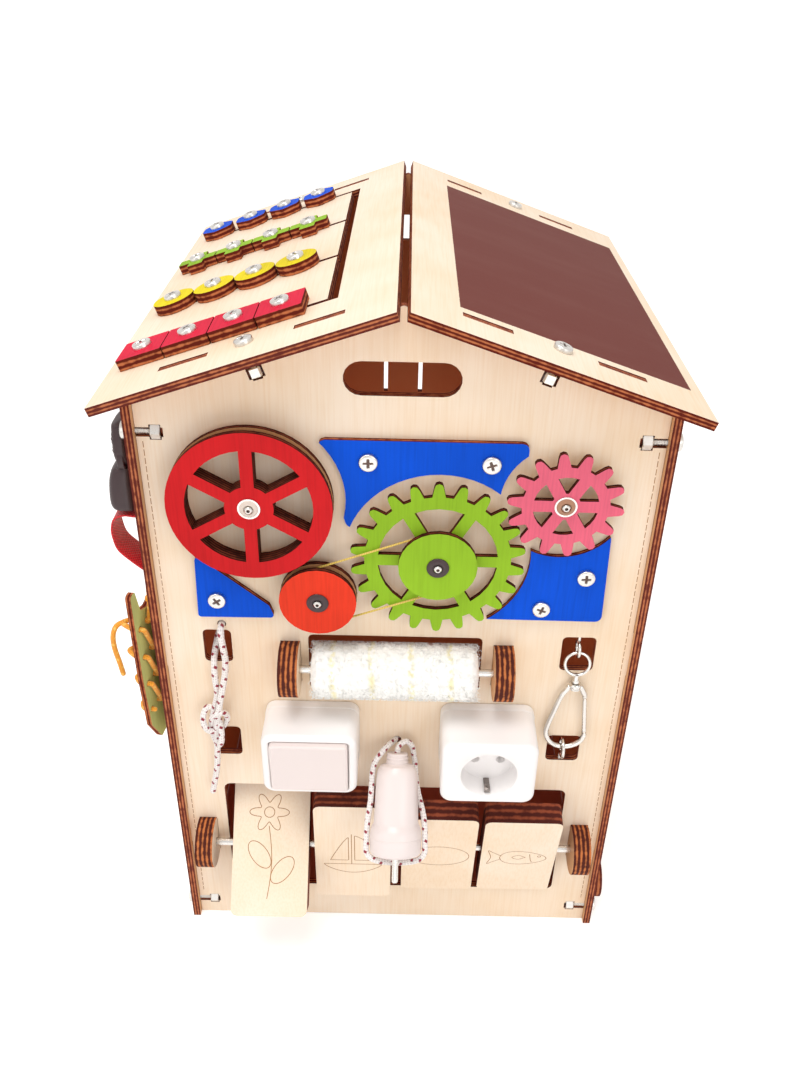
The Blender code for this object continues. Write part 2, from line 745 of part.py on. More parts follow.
def bolt_slot(point, at):
    """The outline of a T-shaped slot in an edge; point gives a place from along the edge and depth."""
    shank = BOLT_RADIUS + FIT
    nut = NUT_ACROSS / 2 + FIT
    low, high = NUT_DEPTH - FIT, NUT_DEPTH + NUT_THICKNESS + FIT
    half = [(shank, 0), (shank, low), (nut, low), (nut, high), (shank, high), (shank, BOLT_SLOT_DEPTH)]
    return [point(at - a, d) for a, d in half] + [point(at + a, d) for a, d in reversed(half)]


def gable_side(side):
    """The gable's outline on one side, from its tip down to the floor."""
    seat = -PLY - SEAT_GAP
    inside = WALL_INSIDE - SEAT_GAP
    outside = HOUSE_WIDTH / 2 - SEAT_GAP
    tip = -(RIDGE_GAP / 2 + seat * sin(PITCH)) / cos(PITCH)
    eave = (inside - RIDGE_GAP / 2 - seat * sin(PITCH)) / cos(PITCH)
    points = [roof_point(side, tip, seat)]
    tabs = [(centre, "tab") for centre in ROOF_TAB_CENTRES] + [(ROOF_BOLT_AT, "slot")]
    for at, kind in sorted(tabs):
        if kind == "slot":
            points += bolt_slot(lambda along, depth: roof_point(side, along, seat - depth), at)
            continue
        for along, height in ((-1, seat), (-1, -SEAT_GAP), (1, -SEAT_GAP), (1, seat)):
            points.append(roof_point(side, at + along * ROOF_TAB_LENGTH / 2, height))
    points.append(roof_point(side, eave, seat))
    edge = [(height, "slot") for height in WALL_BOLT_HEIGHTS]
    edge += [(height, "tab") for height in WALL_TAB_CENTRES]
    for at, kind in sorted(edge, reverse=True):
        if kind == "slot":
            points += bolt_slot(lambda along, depth: (side * (inside - depth), 2 * at - along), at)
            continue
        for across, up in ((inside, 1), (outside, 1), (outside, -1), (inside, -1)):
            points.append((side * across, at + up * WALL_TAB_LENGTH / 2))
    points.append((side * inside, 0))
    return points


def gable_outline():
    """The whole gable panel's outline: down the right side and up the left."""
    right = gable_side(1)
    left = gable_side(-1)
    return right + list(reversed(left[1:]))


def handle_loop():
    """The hand hole, a slot with round ends."""
    straight = (HANDLE_LENGTH - HANDLE_WIDTH) / 2
    radius = HANDLE_WIDTH / 2
    right = arc((straight, HANDLE_HEIGHT), radius, -pi / 2, pi / 2, CORNER_STEPS * 3)
    left = arc((-straight, HANDLE_HEIGHT), radius, pi / 2, 3 * pi / 2, CORNER_STEPS * 3)
    return right + left


def cheek_slot(x, z):
    """The slot that a laminated cheek stands in, as high as the cheek is at the panel's face."""
    half = sqrt(CHEEK_RADIUS**2 - AXLE_STAND**2) + FIT
    return plain_box((x, z), CHEEK_THICKNESS + 2 * FIT, 2 * half)


def ring_eye(name, centre, radius, wire, place_turn):
    """A wire ring round a centre, as a closed mesh for joining."""
    path = [Vector((x, y, 0)) for x, y in circle((0, 0), radius, ROUND_STEPS)]
    place = Matrix.Translation(centre) @ place_turn
    return as_mesh(tube(name, path, wire, place, looped=True, fine=1, collection=CUTTERS))


def make_front_panel():
    """The front gable with its windows, and the screw eye that the snap hook hangs from."""
    holes = [handle_loop()]
    for window in (ROPE_WINDOW, KNOT_WINDOW, SWIVEL_WINDOW, HOOK_WINDOW):
        holes.append(box_loop(*window, WINDOW_CORNER))
    holes.append(box_loop(*BLOCK_WINDOW, BLOCK_WINDOW_CORNER))
    holes.append(box_round(ROLLER_AT, ROLLER_WINDOW_LENGTH, ROLLER_WINDOW_HEIGHT, WINDOW_CORNER))
    holes += [cheek_slot(x, ROLLER_AT[1]) for x in ROLLER_CHEEK_CENTRES]
    holes += [cheek_slot(x, BLOCK_AXLE_HEIGHT) for x in BLOCK_CHEEK_CENTRES]
    holes.append(circle(ROPE_HOLE, ROPE_HOLE_RADIUS, SMALL_STEPS))
    holes.append(circle(PLUG_HOLE, PLUG_HOLE_RADIUS, SMALL_STEPS))
    for centre in (LARGE_WHEEL_AT, SMALL_PULLEY_AT, GREEN_GEAR_AT, PINK_GEAR_AT):
        holes.append(circle(centre, AXLE_RADIUS + AXLE_FIT, SMALL_STEPS))
    panel = flat("front_panel", [gable_outline()] + holes, PLY, place_on_front(0, 0, -PLY / 2), PLYWOOD)
    x, y, z = TOP_EYE_AT
    upright = Matrix.Rotation(pi / 2, 4, "Y")
    eye = ring_eye("top_eye_ring", (x, PANEL_FACE + y, z), EYE_RADIUS, EYE_WIRE, upright)
    high = SWIVEL_WINDOW[3] + EYE_SHANK_DEPTH
    low = z + EYE_RADIUS
    shank_place = Matrix.Translation((x, PANEL_FACE + y + EYE_WIRE / 2, (high + low) / 2))
    shank = rod("top_eye_shank", EYE_WIRE, high - low, shank_place, collection=CUTTERS)
    lower_x, lower_y, lower_z = LOWER_EYE_AT
    bore_top = HOOK_WINDOW[1] + OVERRUN
    bore_low = HOOK_WINDOW[1] - EYE_SHANK_DEPTH - FIT
    bore_place = Matrix.Translation((lower_x, PANEL_FACE + PLY / 2, (bore_top + bore_low) / 2))
    bore = rod("lower_eye_bore", LOWER_EYE_WIRE + FIT, bore_top - bore_low, bore_place, collection=CUTTERS)
    return cut(fuse(panel, shank, eye), bore)


def make_rear_panel():
    """The rear gable with its hand hole and two upright slits."""
    holes = [handle_loop()]
    for x in REAR_SLIT_CENTRES:
        centre = (x, (REAR_SLIT_LOW + REAR_SLIT_HIGH) / 2)
        holes.append(plain_box(centre, REAR_SLIT_WIDTH, REAR_SLIT_HIGH - REAR_SLIT_LOW))
    place = place_on_front(0, 0, PANEL_FACE - REAR_FACE - PLY / 2)
    flat("rear_panel", [gable_outline()] + holes, PLY, place, PLYWOOD)


def wall_top():
    """The height of the side walls, just under the roof at their outer faces."""
    seat = -PLY - SEAT_GAP
    down = (HOUSE_WIDTH / 2 - RIDGE_GAP / 2 - seat * sin(PITCH)) / cos(PITCH)
    return roof_point(1, down, seat)[1]


def wall_loops():
    """A side wall's outline with the slots for both gables' tabs and its bolt holes."""
    loops = [plain_box((HOUSE_DEPTH / 2, wall_top() / 2), HOUSE_DEPTH, wall_top())]
    for face in (PANEL_FACE, REAR_FACE):
        middle = face + PLY / 2
        for height in WALL_TAB_CENTRES:
            loops.append(plain_box((middle, height), PLY + 2 * FIT, WALL_TAB_LENGTH + 2 * FIT))
        for height in WALL_BOLT_HEIGHTS:
            loops.append(circle((middle, height), BOLT_RADIUS + FIT, SMALL_STEPS))
    return loops


def make_left_wall():
    """The left wall, with two slots for the strap and a hole for the lace."""
    loops = wall_loops()
    for height in STRAP_SLOT_HEIGHTS:
        loops.append(plain_box((STRAP_AT, height), STRAP_WIDTH + 4 * FIT, STRAP_SLOT_OPENING))
    loops.append(circle(LACE_HOLE, LACE_HOLE_RADIUS, SMALL_STEPS))
    flat("left_wall", loops, PLY, place_on_wall(-HOUSE_WIDTH / 2 + PLY / 2), PLYWOOD)


def make_right_wall():
    """The right wall, with the hole for the disc knob's pin."""
    loops = wall_loops() + [circle(KNOB_AT, KNOB_PIN_RADIUS + AXLE_FIT, SMALL_STEPS)]
    flat("right_wall", loops, PLY, place_on_wall(HOUSE_WIDTH / 2 - PLY / 2), PLYWOOD)


def roof_loops(side):
    """A roof panel's outline with the slots for the gables' tabs and its bolt holes."""
    middle = (HOUSE_REAR - ROOF_OVERHANG_FRONT) / 2
    run = HOUSE_REAR + ROOF_OVERHANG_FRONT
    rim = plain_box((side * ROOF_SLOPE_LENGTH / 2, middle), ROOF_SLOPE_LENGTH, run)
    loops = [rim]
    for face in (PANEL_FACE, REAR_FACE):
        y = face + PLY / 2
        for down in ROOF_TAB_CENTRES:
            loops.append(plain_box((side * down, y), ROOF_TAB_LENGTH + 2 * FIT, PLY + 2 * FIT))
        loops.append(circle((side * ROOF_BOLT_AT, y), BOLT_RADIUS + FIT, SMALL_STEPS))
    return loops


def comb_loop():
    """The comb-shaped slot of the left roof: a channel by the ridge and one slot a row."""
    near = -(CHANNEL_AT - CHANNEL_WIDTH / 2)
    far = -(CHANNEL_AT + CHANNEL_WIDTH / 2)
    half = SLIDER_SLOT / 2
    end = -SLIDER_LOWEST
    points = [(near, SLIDER_ROWS[0] - half)]
    for y in SLIDER_ROWS:
        points += arc((end, y), half, -pi / 2, -3 * pi / 2, SMALL_STEPS // 2)
        if y != SLIDER_ROWS[-1]:
            points += [(far, y + half), (far, next_row(y) - half)]
    points.append((near, SLIDER_ROWS[-1] + half))
    return points


def next_row(y):
    """The row after the one at y."""
    return SLIDER_ROWS[SLIDER_ROWS.index(y) + 1]


def make_roof():
    """The two roof panels."""
    flat("roof_left", roof_loops(-1) + [comb_loop()], PLY, place_on_roof(-1, -PLY / 2), PLYWOOD)
    flat("roof_right", roof_loops(1), PLY, place_on_roof(1, -PLY / 2), PLYWOOD)


def slider_outline(kind):
    """The outline of one sliding shape round its screw."""
    half = SLIDER_SIZE / 2
    if kind == "square":
        return rounded(plain_box((0, 0), SLIDER_SIZE, SLIDER_SIZE), SLIDER_CORNER, 2)
    if kind == "disc":
        return circle((0, 0), half, ROUND_STEPS)
    if kind == "hexagon":
        return rounded(circle((0, 0), half, 6, pi / 6), HEX_ROUND)
    arm = CROSS_ARM
    quarter = [(half, -arm), (half, arm), (arm, arm)]
    turned_points = []
    for k in range(4):
        c, s = round(cos(k * pi / 2)), round(sin(k * pi / 2))
        turned_points += [(c * x - s * y, s * x + c * y) for x, y in quarter]
    return rounded(turned_points, SLIDER_CORNER, 2)


def make_sliders():
    """Sixteen shapes, four in a row, each with its screw and the washer that holds it to the roof."""
    rows = (("square", RED), ("disc", YELLOW), ("cross", GREEN), ("hexagon", BLUE))
    for y, (kind, material) in zip(SLIDER_ROWS, rows):
        for k in range(SLIDER_COUNT):
            down = SLIDER_LOWEST - (SLIDER_COUNT - 1 - k) * SLIDER_PITCH
            spot = Matrix.Translation((-down, y, 0))
            low = SEAT_GAP
            high = SEAT_GAP + SLIDER_THICKNESS
            name = f"{kind}_slider_{k + 1}"
            place = place_on_roof(-1, 0) @ spot
            middle = place @ Matrix.Translation((0, 0, (low + high) / 2))
            shape = flat(name, [slider_outline(kind)], SLIDER_THICKNESS, middle, material)
            profile = [
                (0, high + SLIDER_HEAD_HEIGHT),
                (SLIDER_HEAD_RADIUS * DOME_SHARES[0], high + SLIDER_HEAD_HEIGHT * DOME_SHARES[1]),
                (SLIDER_HEAD_RADIUS, high + SLIDER_HEAD_HEIGHT * SLIDER_RIM_SHARE),
                (SLIDER_HEAD_RADIUS * SLIDER_SEAT_SHARES[0], high - SLIDER_THICKNESS * SLIDER_SEAT_SHARES[1]),
                (SLIDER_SHANK, high - SLIDER_THICKNESS * SLIDER_NECK_SHARE),
                (SLIDER_SHANK, -PLY - SEAT_GAP),
                (SLIDER_WASHER, -PLY - SEAT_GAP),
                (SLIDER_WASHER, -PLY - SEAT_GAP - SLIDER_WASHER_THICKNESS),
                (0, -PLY - SEAT_GAP - SLIDER_WASHER_THICKNESS),
            ]
            fuse(shape, turned(name + "_screw", profile, place, None, SMALL_STEPS, collection=CUTTERS))


def sector_window(inner, outer, spoke, middle, count, steps):
    """A window between two spokes, round a middle angle, with its corners rounded."""
    points = []
    for radius, first, last in ((outer, -1, 1), (inner, 1, -1)):
        half = pi / count - spoke / 2 / radius
        points += arc((0, 0), radius, middle + first * half, middle + last * half, steps)
    return points


def wheel_axle(name, at):
    """A bolt with its nut behind the panel, its spacer, and its washer and head in front of the wheel."""
    top = WHEEL_STAND + PULLEY_THICKNESS if name != "pink_gear_axle" else WHEEL_STAND + WHEEL_PLY
    top += SEAT_GAP
    washer = top + AXLE_WASHER_THICKNESS
    back = -PLY - SEAT_GAP
    profile = [
        (0, washer + AXLE_HEAD_HEIGHT),
        (AXLE_HEAD_RADIUS * DOME_SHARES[0], washer + AXLE_HEAD_HEIGHT * DOME_SHARES[1]),
        (AXLE_HEAD_RADIUS, washer),
        (AXLE_WASHER_RADIUS, washer),
        (AXLE_WASHER_RADIUS, top),
        (AXLE_RADIUS, top),
        (AXLE_RADIUS, WHEEL_STAND - SEAT_GAP),
        (AXLE_SPACER_RADIUS, WHEEL_STAND - SEAT_GAP),
        (AXLE_SPACER_RADIUS, SEAT_GAP),
        (AXLE_RADIUS, SEAT_GAP),
        (AXLE_RADIUS, back),
        (AXLE_NUT_RADIUS, back),
        (AXLE_NUT_RADIUS, back - AXLE_NUT_HEIGHT),
        (0, back - AXLE_NUT_HEIGHT),
    ]
    turned(name, profile, place_on_front(*at, 0), STEEL, SMALL_STEPS)


def grooved_profile(radius, groove):
    """A pulley of three layers with a bore, from its front face down its outer side."""
    bore = AXLE_RADIUS + AXLE_FIT
    low, high = WHEEL_STAND, WHEEL_STAND + PULLEY_THICKNESS
    near, far = high - WHEEL_PLY, low + WHEEL_PLY
    core = radius - groove
    front = [(bore, high), (radius, high), (radius, near), (core, near)]
    return front + [(core, far), (radius, far), (radius, low), (bore, low)]


def make_large_wheel():
    """The large wheel: three layers with a groove in the rim, and six windows between spokes."""
    place = place_on_front(*LARGE_WHEEL_AT, 0)
    profile = grooved_profile(LARGE_WHEEL_RADIUS, LARGE_WHEEL_GROOVE)
    wheel = turned("large_wheel", profile, place, RED, ROUND_STEPS * 2, closed=True)
    outer = LARGE_WHEEL_RADIUS - LARGE_WHEEL_RIM
    depth = PULLEY_THICKNESS + 2 * OVERRUN
    middle = place @ Matrix.Translation((0, 0, WHEEL_STAND + PULLEY_THICKNESS / 2))
    for k in range(LARGE_WHEEL_WINDOWS):
        angle = 2 * pi * k / LARGE_WHEEL_WINDOWS
        loop = sector_window(LARGE_WHEEL_HUB, outer, LARGE_WHEEL_SPOKE, angle, LARGE_WHEEL_WINDOWS, 6)
        cut(wheel, flat(f"wheel_window_{k + 1}", [loop], depth, middle, None, CUTTERS))
    wheel_axle("large_wheel_axle", LARGE_WHEEL_AT)


def make_small_pulley():
    """The small pulley that the band drives."""
    profile = grooved_profile(PULLEY_RADIUS, PULLEY_GROOVE)
    turned("small_pulley", profile, place_on_front(*SMALL_PULLEY_AT, 0), ORANGE, ROUND_STEPS, closed=True)
    wheel_axle("small_pulley_axle", SMALL_PULLEY_AT)


def gear_outline(teeth, outer, phase):
    """A gear's rim: long teeth with round tips."""
    root = outer - TOOTH_DEPTH
    points = []
    for k in range(teeth):
        angle = phase + 2 * pi * k / teeth
        tip = outer - TOOTH_TIP_HALF
        local = [(sqrt(root**2 - TOOTH_ROOT_HALF**2), -TOOTH_ROOT_HALF)]
        local += [(tip + x, y) for x, y in arc((0, 0), TOOTH_TIP_HALF, -pi / 2, pi / 2, TOOTH_TIP_STEPS)]
        local.append((sqrt(root**2 - TOOTH_ROOT_HALF**2), TOOTH_ROOT_HALF))
        points += [(x * cos(angle) - y * sin(angle), x * sin(angle) + y * cos(angle)) for x, y in local]
    return points


def pink_phase():
    """The pink gear's turn that puts its gaps over the green gear's teeth."""
    green_offset = (GREEN_PHASE - PINK_DIRECTION) * GREEN_PITCH_RADIUS
    gap = PINK_DIRECTION + pi - green_offset / PINK_PITCH_RADIUS
    return gap + pi / PINK_TEETH


def make_gears():
    """The green gear with its hub pulley, and the pink gear in mesh with it."""
    half = WHEEL_STAND + WHEEL_PLY / 2
    bore = circle((0, 0), AXLE_RADIUS + AXLE_FIT, SMALL_STEPS)
    loops = [gear_outline(GREEN_TEETH, GREEN_OUTER, GREEN_PHASE), bore]
    for k in range(GEAR_WINDOWS):
        angle = 2 * pi * (k + 0.5) / GEAR_WINDOWS
        spread = (GREEN_WINDOW_INNER, GREEN_WINDOW_OUTER, GREEN_SPOKE)
        loops.append(sector_window(*spread, angle, GEAR_WINDOWS, 4))
    place = place_on_front(*GREEN_GEAR_AT, 0)
    gear = flat("green_gear", loops, WHEEL_PLY, place @ Matrix.Translation((0, 0, half)), GREEN)
    low, high = WHEEL_STAND + WHEEL_PLY, WHEEL_STAND + PULLEY_THICKNESS
    core = PULLEY_RADIUS - PULLEY_GROOVE
    hole = AXLE_RADIUS + AXLE_FIT
    sunk = low - WHEEL_PLY / 2
    profile = [
        (hole * HUB_BORE_SHARE, high),
        (PULLEY_RADIUS, high),
        (PULLEY_RADIUS, high - WHEEL_PLY),
        (core, high - WHEEL_PLY),
        (core, sunk),
        (hole * HUB_BORE_SHARE, sunk),
    ]
    hub = turned("green_hub", profile, place, None, ROUND_STEPS, closed=True, collection=CUTTERS)
    drill_place = place @ Matrix.Translation((0, 0, low))
    drill = rod("green_drill", hole, 2 * PULLEY_THICKNESS, drill_place, collection=CUTTERS)
    cut(fuse(gear, hub), drill)
    wheel_axle("green_gear_axle", GREEN_GEAR_AT)
    loops = [gear_outline(PINK_TEETH, PINK_OUTER, pink_phase()), bore]
    for k in range(GEAR_WINDOWS):
        angle = 2 * pi * (k + 0.5) / GEAR_WINDOWS
        spread = (PINK_WINDOW_INNER, PINK_WINDOW_OUTER, PINK_SPOKE)
        loops.append(sector_window(*spread, angle, GEAR_WINDOWS, 3))
    flat("pink_gear", loops, WHEEL_PLY, place_on_front(*PINK_GEAR_AT, half), PINK)
    wheel_axle("pink_gear_axle", PINK_GEAR_AT)


def make_drive_band():
    """The elastic band, round the small pulley and the green gear's hub pulley."""
    radius = PULLEY_RADIUS - PULLEY_GROOVE + BAND_SEAT + BAND_RADIUS
    first, last = Vector(SMALL_PULLEY_AT), Vector(GREEN_GEAR_AT)
    along = atan2(last.y - first.y, last.x - first.x)
    loop = arc(last, radius, along - pi / 2, along + pi / 2, ROUND_STEPS // 2)
    loop += arc(first, radius, along + pi / 2, along + 3 * pi / 2, ROUND_STEPS // 2)
    path = [Vector((x, y, 0)) for x, y in loop]
    tube("drive_band", path, BAND_RADIUS, place_on_front(0, 0, BAND_STAND), RUBBER, 1, looped=True)


def make_plates():
    """The three blue plates, with bays round the wheels in front of them."""
    place = place_on_front(0, 0, SEAT_GAP + PLATE_PLY / 2)
    bays = (
        ("wheel_bay", LARGE_WHEEL_AT, LARGE_WHEEL_RADIUS + PLATE_WHEEL_BAY),
        ("green_bay", GREEN_GEAR_AT, GREEN_OUTER + PLATE_GEAR_BAY),
        ("pink_bay", PINK_GEAR_AT, PINK_OUTER + PLATE_GEAR_BAY),
    )
    depth = PLATE_PLY + 2 * OVERRUN
    cutters = {n: flat(n, [circle(at, r, ROUND_STEPS * 2)], depth, place, None, CUTTERS) for n, at, r in bays}
    top = flat("plate_top", [rounded(TOP_PLATE, PLATE_CORNER)], PLATE_PLY, place, BLUE)
    cut(top, cutters["wheel_bay"], cutters["green_bay"], cutters["pink_bay"])
    flat("plate_left", [rounded(LEFT_PLATE, PLATE_CORNER / 2)], PLATE_PLY, place, BLUE)
    right = flat("plate_right", [rounded(RIGHT_PLATE, PLATE_CORNER)], PLATE_PLY, place, BLUE)
    cut(right, cutters["green_bay"], cutters["pink_bay"])


def along_x(x, z):
    """A frame on an axle of the front: local Z runs to +X, local X up, at the axle's stand."""
    return Matrix(((0, 0, 1, x), (0, -1, 0, PANEL_FACE - AXLE_STAND), (1, 0, 0, z), (0, 0, 0, 1)))


def make_cheek(name, x, z):
    """A laminated disc in its slot, bored for the axle."""
    bore = ROD_RADIUS + FIT
    half = CHEEK_THICKNESS / 2
    profile = [(bore, half), (CHEEK_RADIUS, half), (CHEEK_RADIUS, -half), (bore, -half)]
    turned(name, profile, along_x(x, z), PLYWOOD, ROUND_STEPS, closed=True)


def make_roller():
    """The fleece roller on its axle between two cheeks."""
    x, z = ROLLER_AT
    bore = ROD_RADIUS + FIT
    half = ROLLER_LENGTH / 2
    edge = ROLLER_RADIUS - ROLLER_END_ROUND
    profile = [(bore, half), (edge, half), (ROLLER_RADIUS, half - ROLLER_END_ROUND)]
    profile += [(r, -h) for r, h in reversed(profile)]
    turned("roller_sleeve", profile, along_x(x, z), FLEECE, ROUND_STEPS, closed=True)
    ends = [ROLLER_CHEEK_CENTRES[0] - CHEEK_THICKNESS / 2, ROLLER_CHEEK_CENTRES[1] + CHEEK_THICKNESS / 2]
    rod("roller_axle", ROD_RADIUS, ends[1] - ends[0], along_x(sum(ends) / 2, z), STEEL)
    for side, centre in zip(("left", "right"), ROLLER_CHEEK_CENTRES):
        make_cheek(f"roller_cheek_{side}", centre, z)


def make_blocks():
    """Four laminated picture blocks that turn on one axle between two cheeks."""
    z = BLOCK_AXLE_HEIGHT
    for k, ((low, high), tilt) in enumerate(zip(BLOCK_EDGES, BLOCK_TILT_DEGREES)):
        centre = Vector(((low + high) / 2, PANEL_FACE - AXLE_STAND, z))
        turn = Matrix.Rotation(-radians(tilt), 4, "X") @ Matrix.Rotation(pi / 2, 4, "X")
        place = Matrix.Translation(centre) @ turn
        outline = box_round((0, 0), high - low, BLOCK_HEIGHT, BLOCK_CORNER)
        piece = flat(f"picture_block_{k + 1}", [outline], BLOCK_THICKNESS, place, PLYWOOD)
        drill_place = Matrix.Translation(centre) @ Matrix.Rotation(pi / 2, 4, "Y")
        width = high - low + 2 * OVERRUN
        drill = rod(f"block_drill_{k + 1}", ROD_RADIUS + FIT, width, drill_place, collection=CUTTERS)
        cut(piece, drill)
    ends = [BLOCK_CHEEK_CENTRES[0] - CHEEK_THICKNESS / 2, BLOCK_CHEEK_CENTRES[1] + CHEEK_THICKNESS / 2]
    rod("block_axle", ROD_RADIUS, ends[1] - ends[0], along_x(sum(ends) / 2, z), STEEL)
    for side, centre in zip(("left", "right"), BLOCK_CHEEK_CENTRES):
        make_cheek(f"block_cheek_{side}", centre, z)


def rounded_box(name, centre, width, height, depth):
    """A plastic box on the panel with rounded sides and front, and its back cut off flat."""
    low, high = SEAT_GAP - BOX_ROUND, SEAT_GAP + depth
    size = (width, height, high - low)
    box = block(name, size, place_on_front(*centre, (low + high) / 2), WHITE, BOX_ROUND)
    slab = (2 * width, 2 * height, 2 * BOX_ROUND)
    return cut(box, block(name + "_back", slab, place_on_front(*centre, low), collection=CUTTERS))


def make_switch():
    """The switch: a shell open at the back, and a wide rocker in its front."""
    x, z = SWITCH_AT
    stand = SEAT_GAP + SWITCH_DEPTH / 2
    shell = rounded_box("switch_box", SWITCH_AT, SWITCH_WIDTH, SWITCH_HEIGHT, SWITCH_DEPTH)
    hollow = (SWITCH_WIDTH - 2 * BOX_WALL, SWITCH_HEIGHT - 2 * BOX_WALL, SWITCH_DEPTH)
    cavity = block("switch_cavity", hollow, place_on_front(x, z, stand - BOX_WALL), collection=CUTTERS)
    mouth = (ROCKER_WIDTH + 2 * ROCKER_FIT, ROCKER_HEIGHT + 2 * ROCKER_FIT, 2 * SWITCH_DEPTH)
    cut(shell, cavity, block("switch_mouth", mouth, place_on_front(x, z, stand), collection=CUTTERS))
    pivot = SEAT_GAP + SWITCH_DEPTH + ROCKER_PROUD - ROCKER_THICKNESS / 2
    place = place_on_front(x, z, pivot) @ Matrix.Rotation(radians(ROCKER_TILT_DEGREES), 4, "X")
    rocker = (ROCKER_WIDTH, ROCKER_HEIGHT, ROCKER_THICKNESS)
    block("switch_rocker", rocker, place, WHITE, ROCKER_ROUND)


def make_socket():
    """The socket: a shell open at the back, with a round recess and two pin holes."""
    x, z = SOCKET_AT
    stand = SEAT_GAP + SOCKET_DEPTH / 2
    shell = rounded_box("socket_box", SOCKET_AT, SOCKET_WIDTH, SOCKET_HEIGHT, SOCKET_DEPTH)
    front = SOCKET_RECESS_DEPTH + BOX_WALL
    hollow = (SOCKET_WIDTH - 2 * BOX_WALL, SOCKET_HEIGHT - 2 * BOX_WALL, SOCKET_DEPTH)
    cavity = block("socket_cavity", hollow, place_on_front(x, z, stand - front), collection=CUTTERS)
    outer = SEAT_GAP + SOCKET_DEPTH
    depth = SOCKET_RECESS_DEPTH + OVERRUN
    recess_place = place_on_front(x, z, outer - SOCKET_RECESS_DEPTH + depth / 2)
    recess = rod("socket_recess", SOCKET_RECESS_RADIUS, depth, recess_place, None, ROUND_STEPS, CUTTERS)
    cut(shell, cavity, recess)
    for side in (-1, 1):
        place = place_on_front(x + side * PIN_SPACING / 2, z, outer)
        name = f"socket_pin_hole_{'left' if side < 0 else 'right'}"
        cut(shell, rod(name, SOCKET_PIN_HOLE_RADIUS, 2 * front + OVERRUN, place, collection=CUTTERS))


def plug_place():
    """The plug's frame: its local Z runs from its base up to its nub."""
    x, stand, z = PLUG_TOP
    tilt = Matrix.Rotation(-radians(PLUG_TILT_DEGREES), 4, "X")
    top = Matrix.Translation((x, PANEL_FACE - stand, z))
    return top @ tilt @ Matrix.Translation((0, 0, -PLUG_LENGTH))


def make_plug():
    """The round plug with its two pins, hanging from its cord."""
    shoulder = PLUG_LENGTH - PLUG_NUB_HEIGHT
    profile = [
        (0, PLUG_LENGTH - PLUG_CORD_ENTRY),
        (PLUG_CORD_RADIUS + FIT, PLUG_LENGTH - PLUG_CORD_ENTRY),
        (PLUG_CORD_RADIUS + FIT, PLUG_LENGTH),
        (PLUG_NUB_RADIUS * NUB_TOP_SHARE, PLUG_LENGTH),
        (PLUG_NUB_RADIUS, shoulder),
        (PLUG_BODY_RADIUS * PLUG_SHOULDER_SHARES[0], shoulder - PLUG_NUB_HEIGHT * PLUG_SHOULDER_SHARES[1]),
        (PLUG_BODY_RADIUS, shoulder - PLUG_NUB_HEIGHT * PLUG_NECK_SHARE),
        (PLUG_BODY_RADIUS * PLUG_WAIST_SHARES[0], PLUG_BASE_HEIGHT * PLUG_WAIST_SHARES[1]),
        (PLUG_BASE_RADIUS, PLUG_BASE_HEIGHT * PLUG_RIM_SHARE),
        (PLUG_BASE_RADIUS, 0),
        (0, 0),
    ]
    plug = turned("plug", profile, plug_place(), WHITE, ROUND_STEPS)
    turn = radians(PLUG_TURN_DEGREES)
    for side in (-1, 1):
        reach = side * PIN_SPACING / 2
        spot = (reach * cos(turn), reach * sin(turn), (OVERRUN - PLUG_PIN_LENGTH) / 2)
        place = plug_place() @ Matrix.Translation(spot)
        name = f"plug_pin_{'left' if side < 0 else 'right'}"
        fuse(plug, rod(name, PLUG_PIN_RADIUS, PLUG_PIN_LENGTH + OVERRUN, place, collection=CUTTERS))


def make_cords():
    """The plug's cord and the knotted rope."""
    entry = [PLUG_LENGTH + PLUG_CORD_ENTRY * step for step in PLUG_CORD_ENTRY_SHARES]
    route = list(PLUG_CORD_ROUTE) + [tuple(plug_place() @ Vector((0, 0, along))) for along in entry]
    path = smooth_path(route, ROUTE_STEP_SHARE * PLUG_CORD_RADIUS)
    tube("plug_cord", path, PLUG_CORD_RADIUS, Matrix.Identity(4), CORD, 2)
    path = smooth_path(ROPE_ROUTE, ROUTE_STEP_SHARE * ROPE_RADIUS)
    rope = as_mesh(tube("rope", path, ROPE_RADIUS, Matrix.Identity(4), CORD, 2))
    fuse(rope, ball("rope_knot", KNOT_RADIUS, KNOT_AT))


def make_lower_eye():
    """The screw eye in the lower window's bottom edge, which the hook is clipped through."""
    x, y, z = LOWER_EYE_AT
    place = Matrix.Translation((x, PANEL_FACE + y, z)) @ Matrix.Rotation(pi / 2, 4, "Y")
    path = [Vector((a, b, 0)) for a, b in circle((0, 0), LOWER_EYE_RADIUS, ROUND_STEPS)]
    eye = as_mesh(tube("lower_screw_eye", path, LOWER_EYE_WIRE, place, STEEL, 1, looped=True))
    low = HOOK_WINDOW[1] - EYE_SHANK_DEPTH
    high = z - sqrt(LOWER_EYE_RADIUS**2 - (PLY / 2 - y) ** 2)
    middle = Matrix.Translation((x, PANEL_FACE + PLY / 2, (low + high) / 2))
    fuse(eye, rod("lower_eye_shank", LOWER_EYE_WIRE, high - low, middle, collection=CUTTERS))


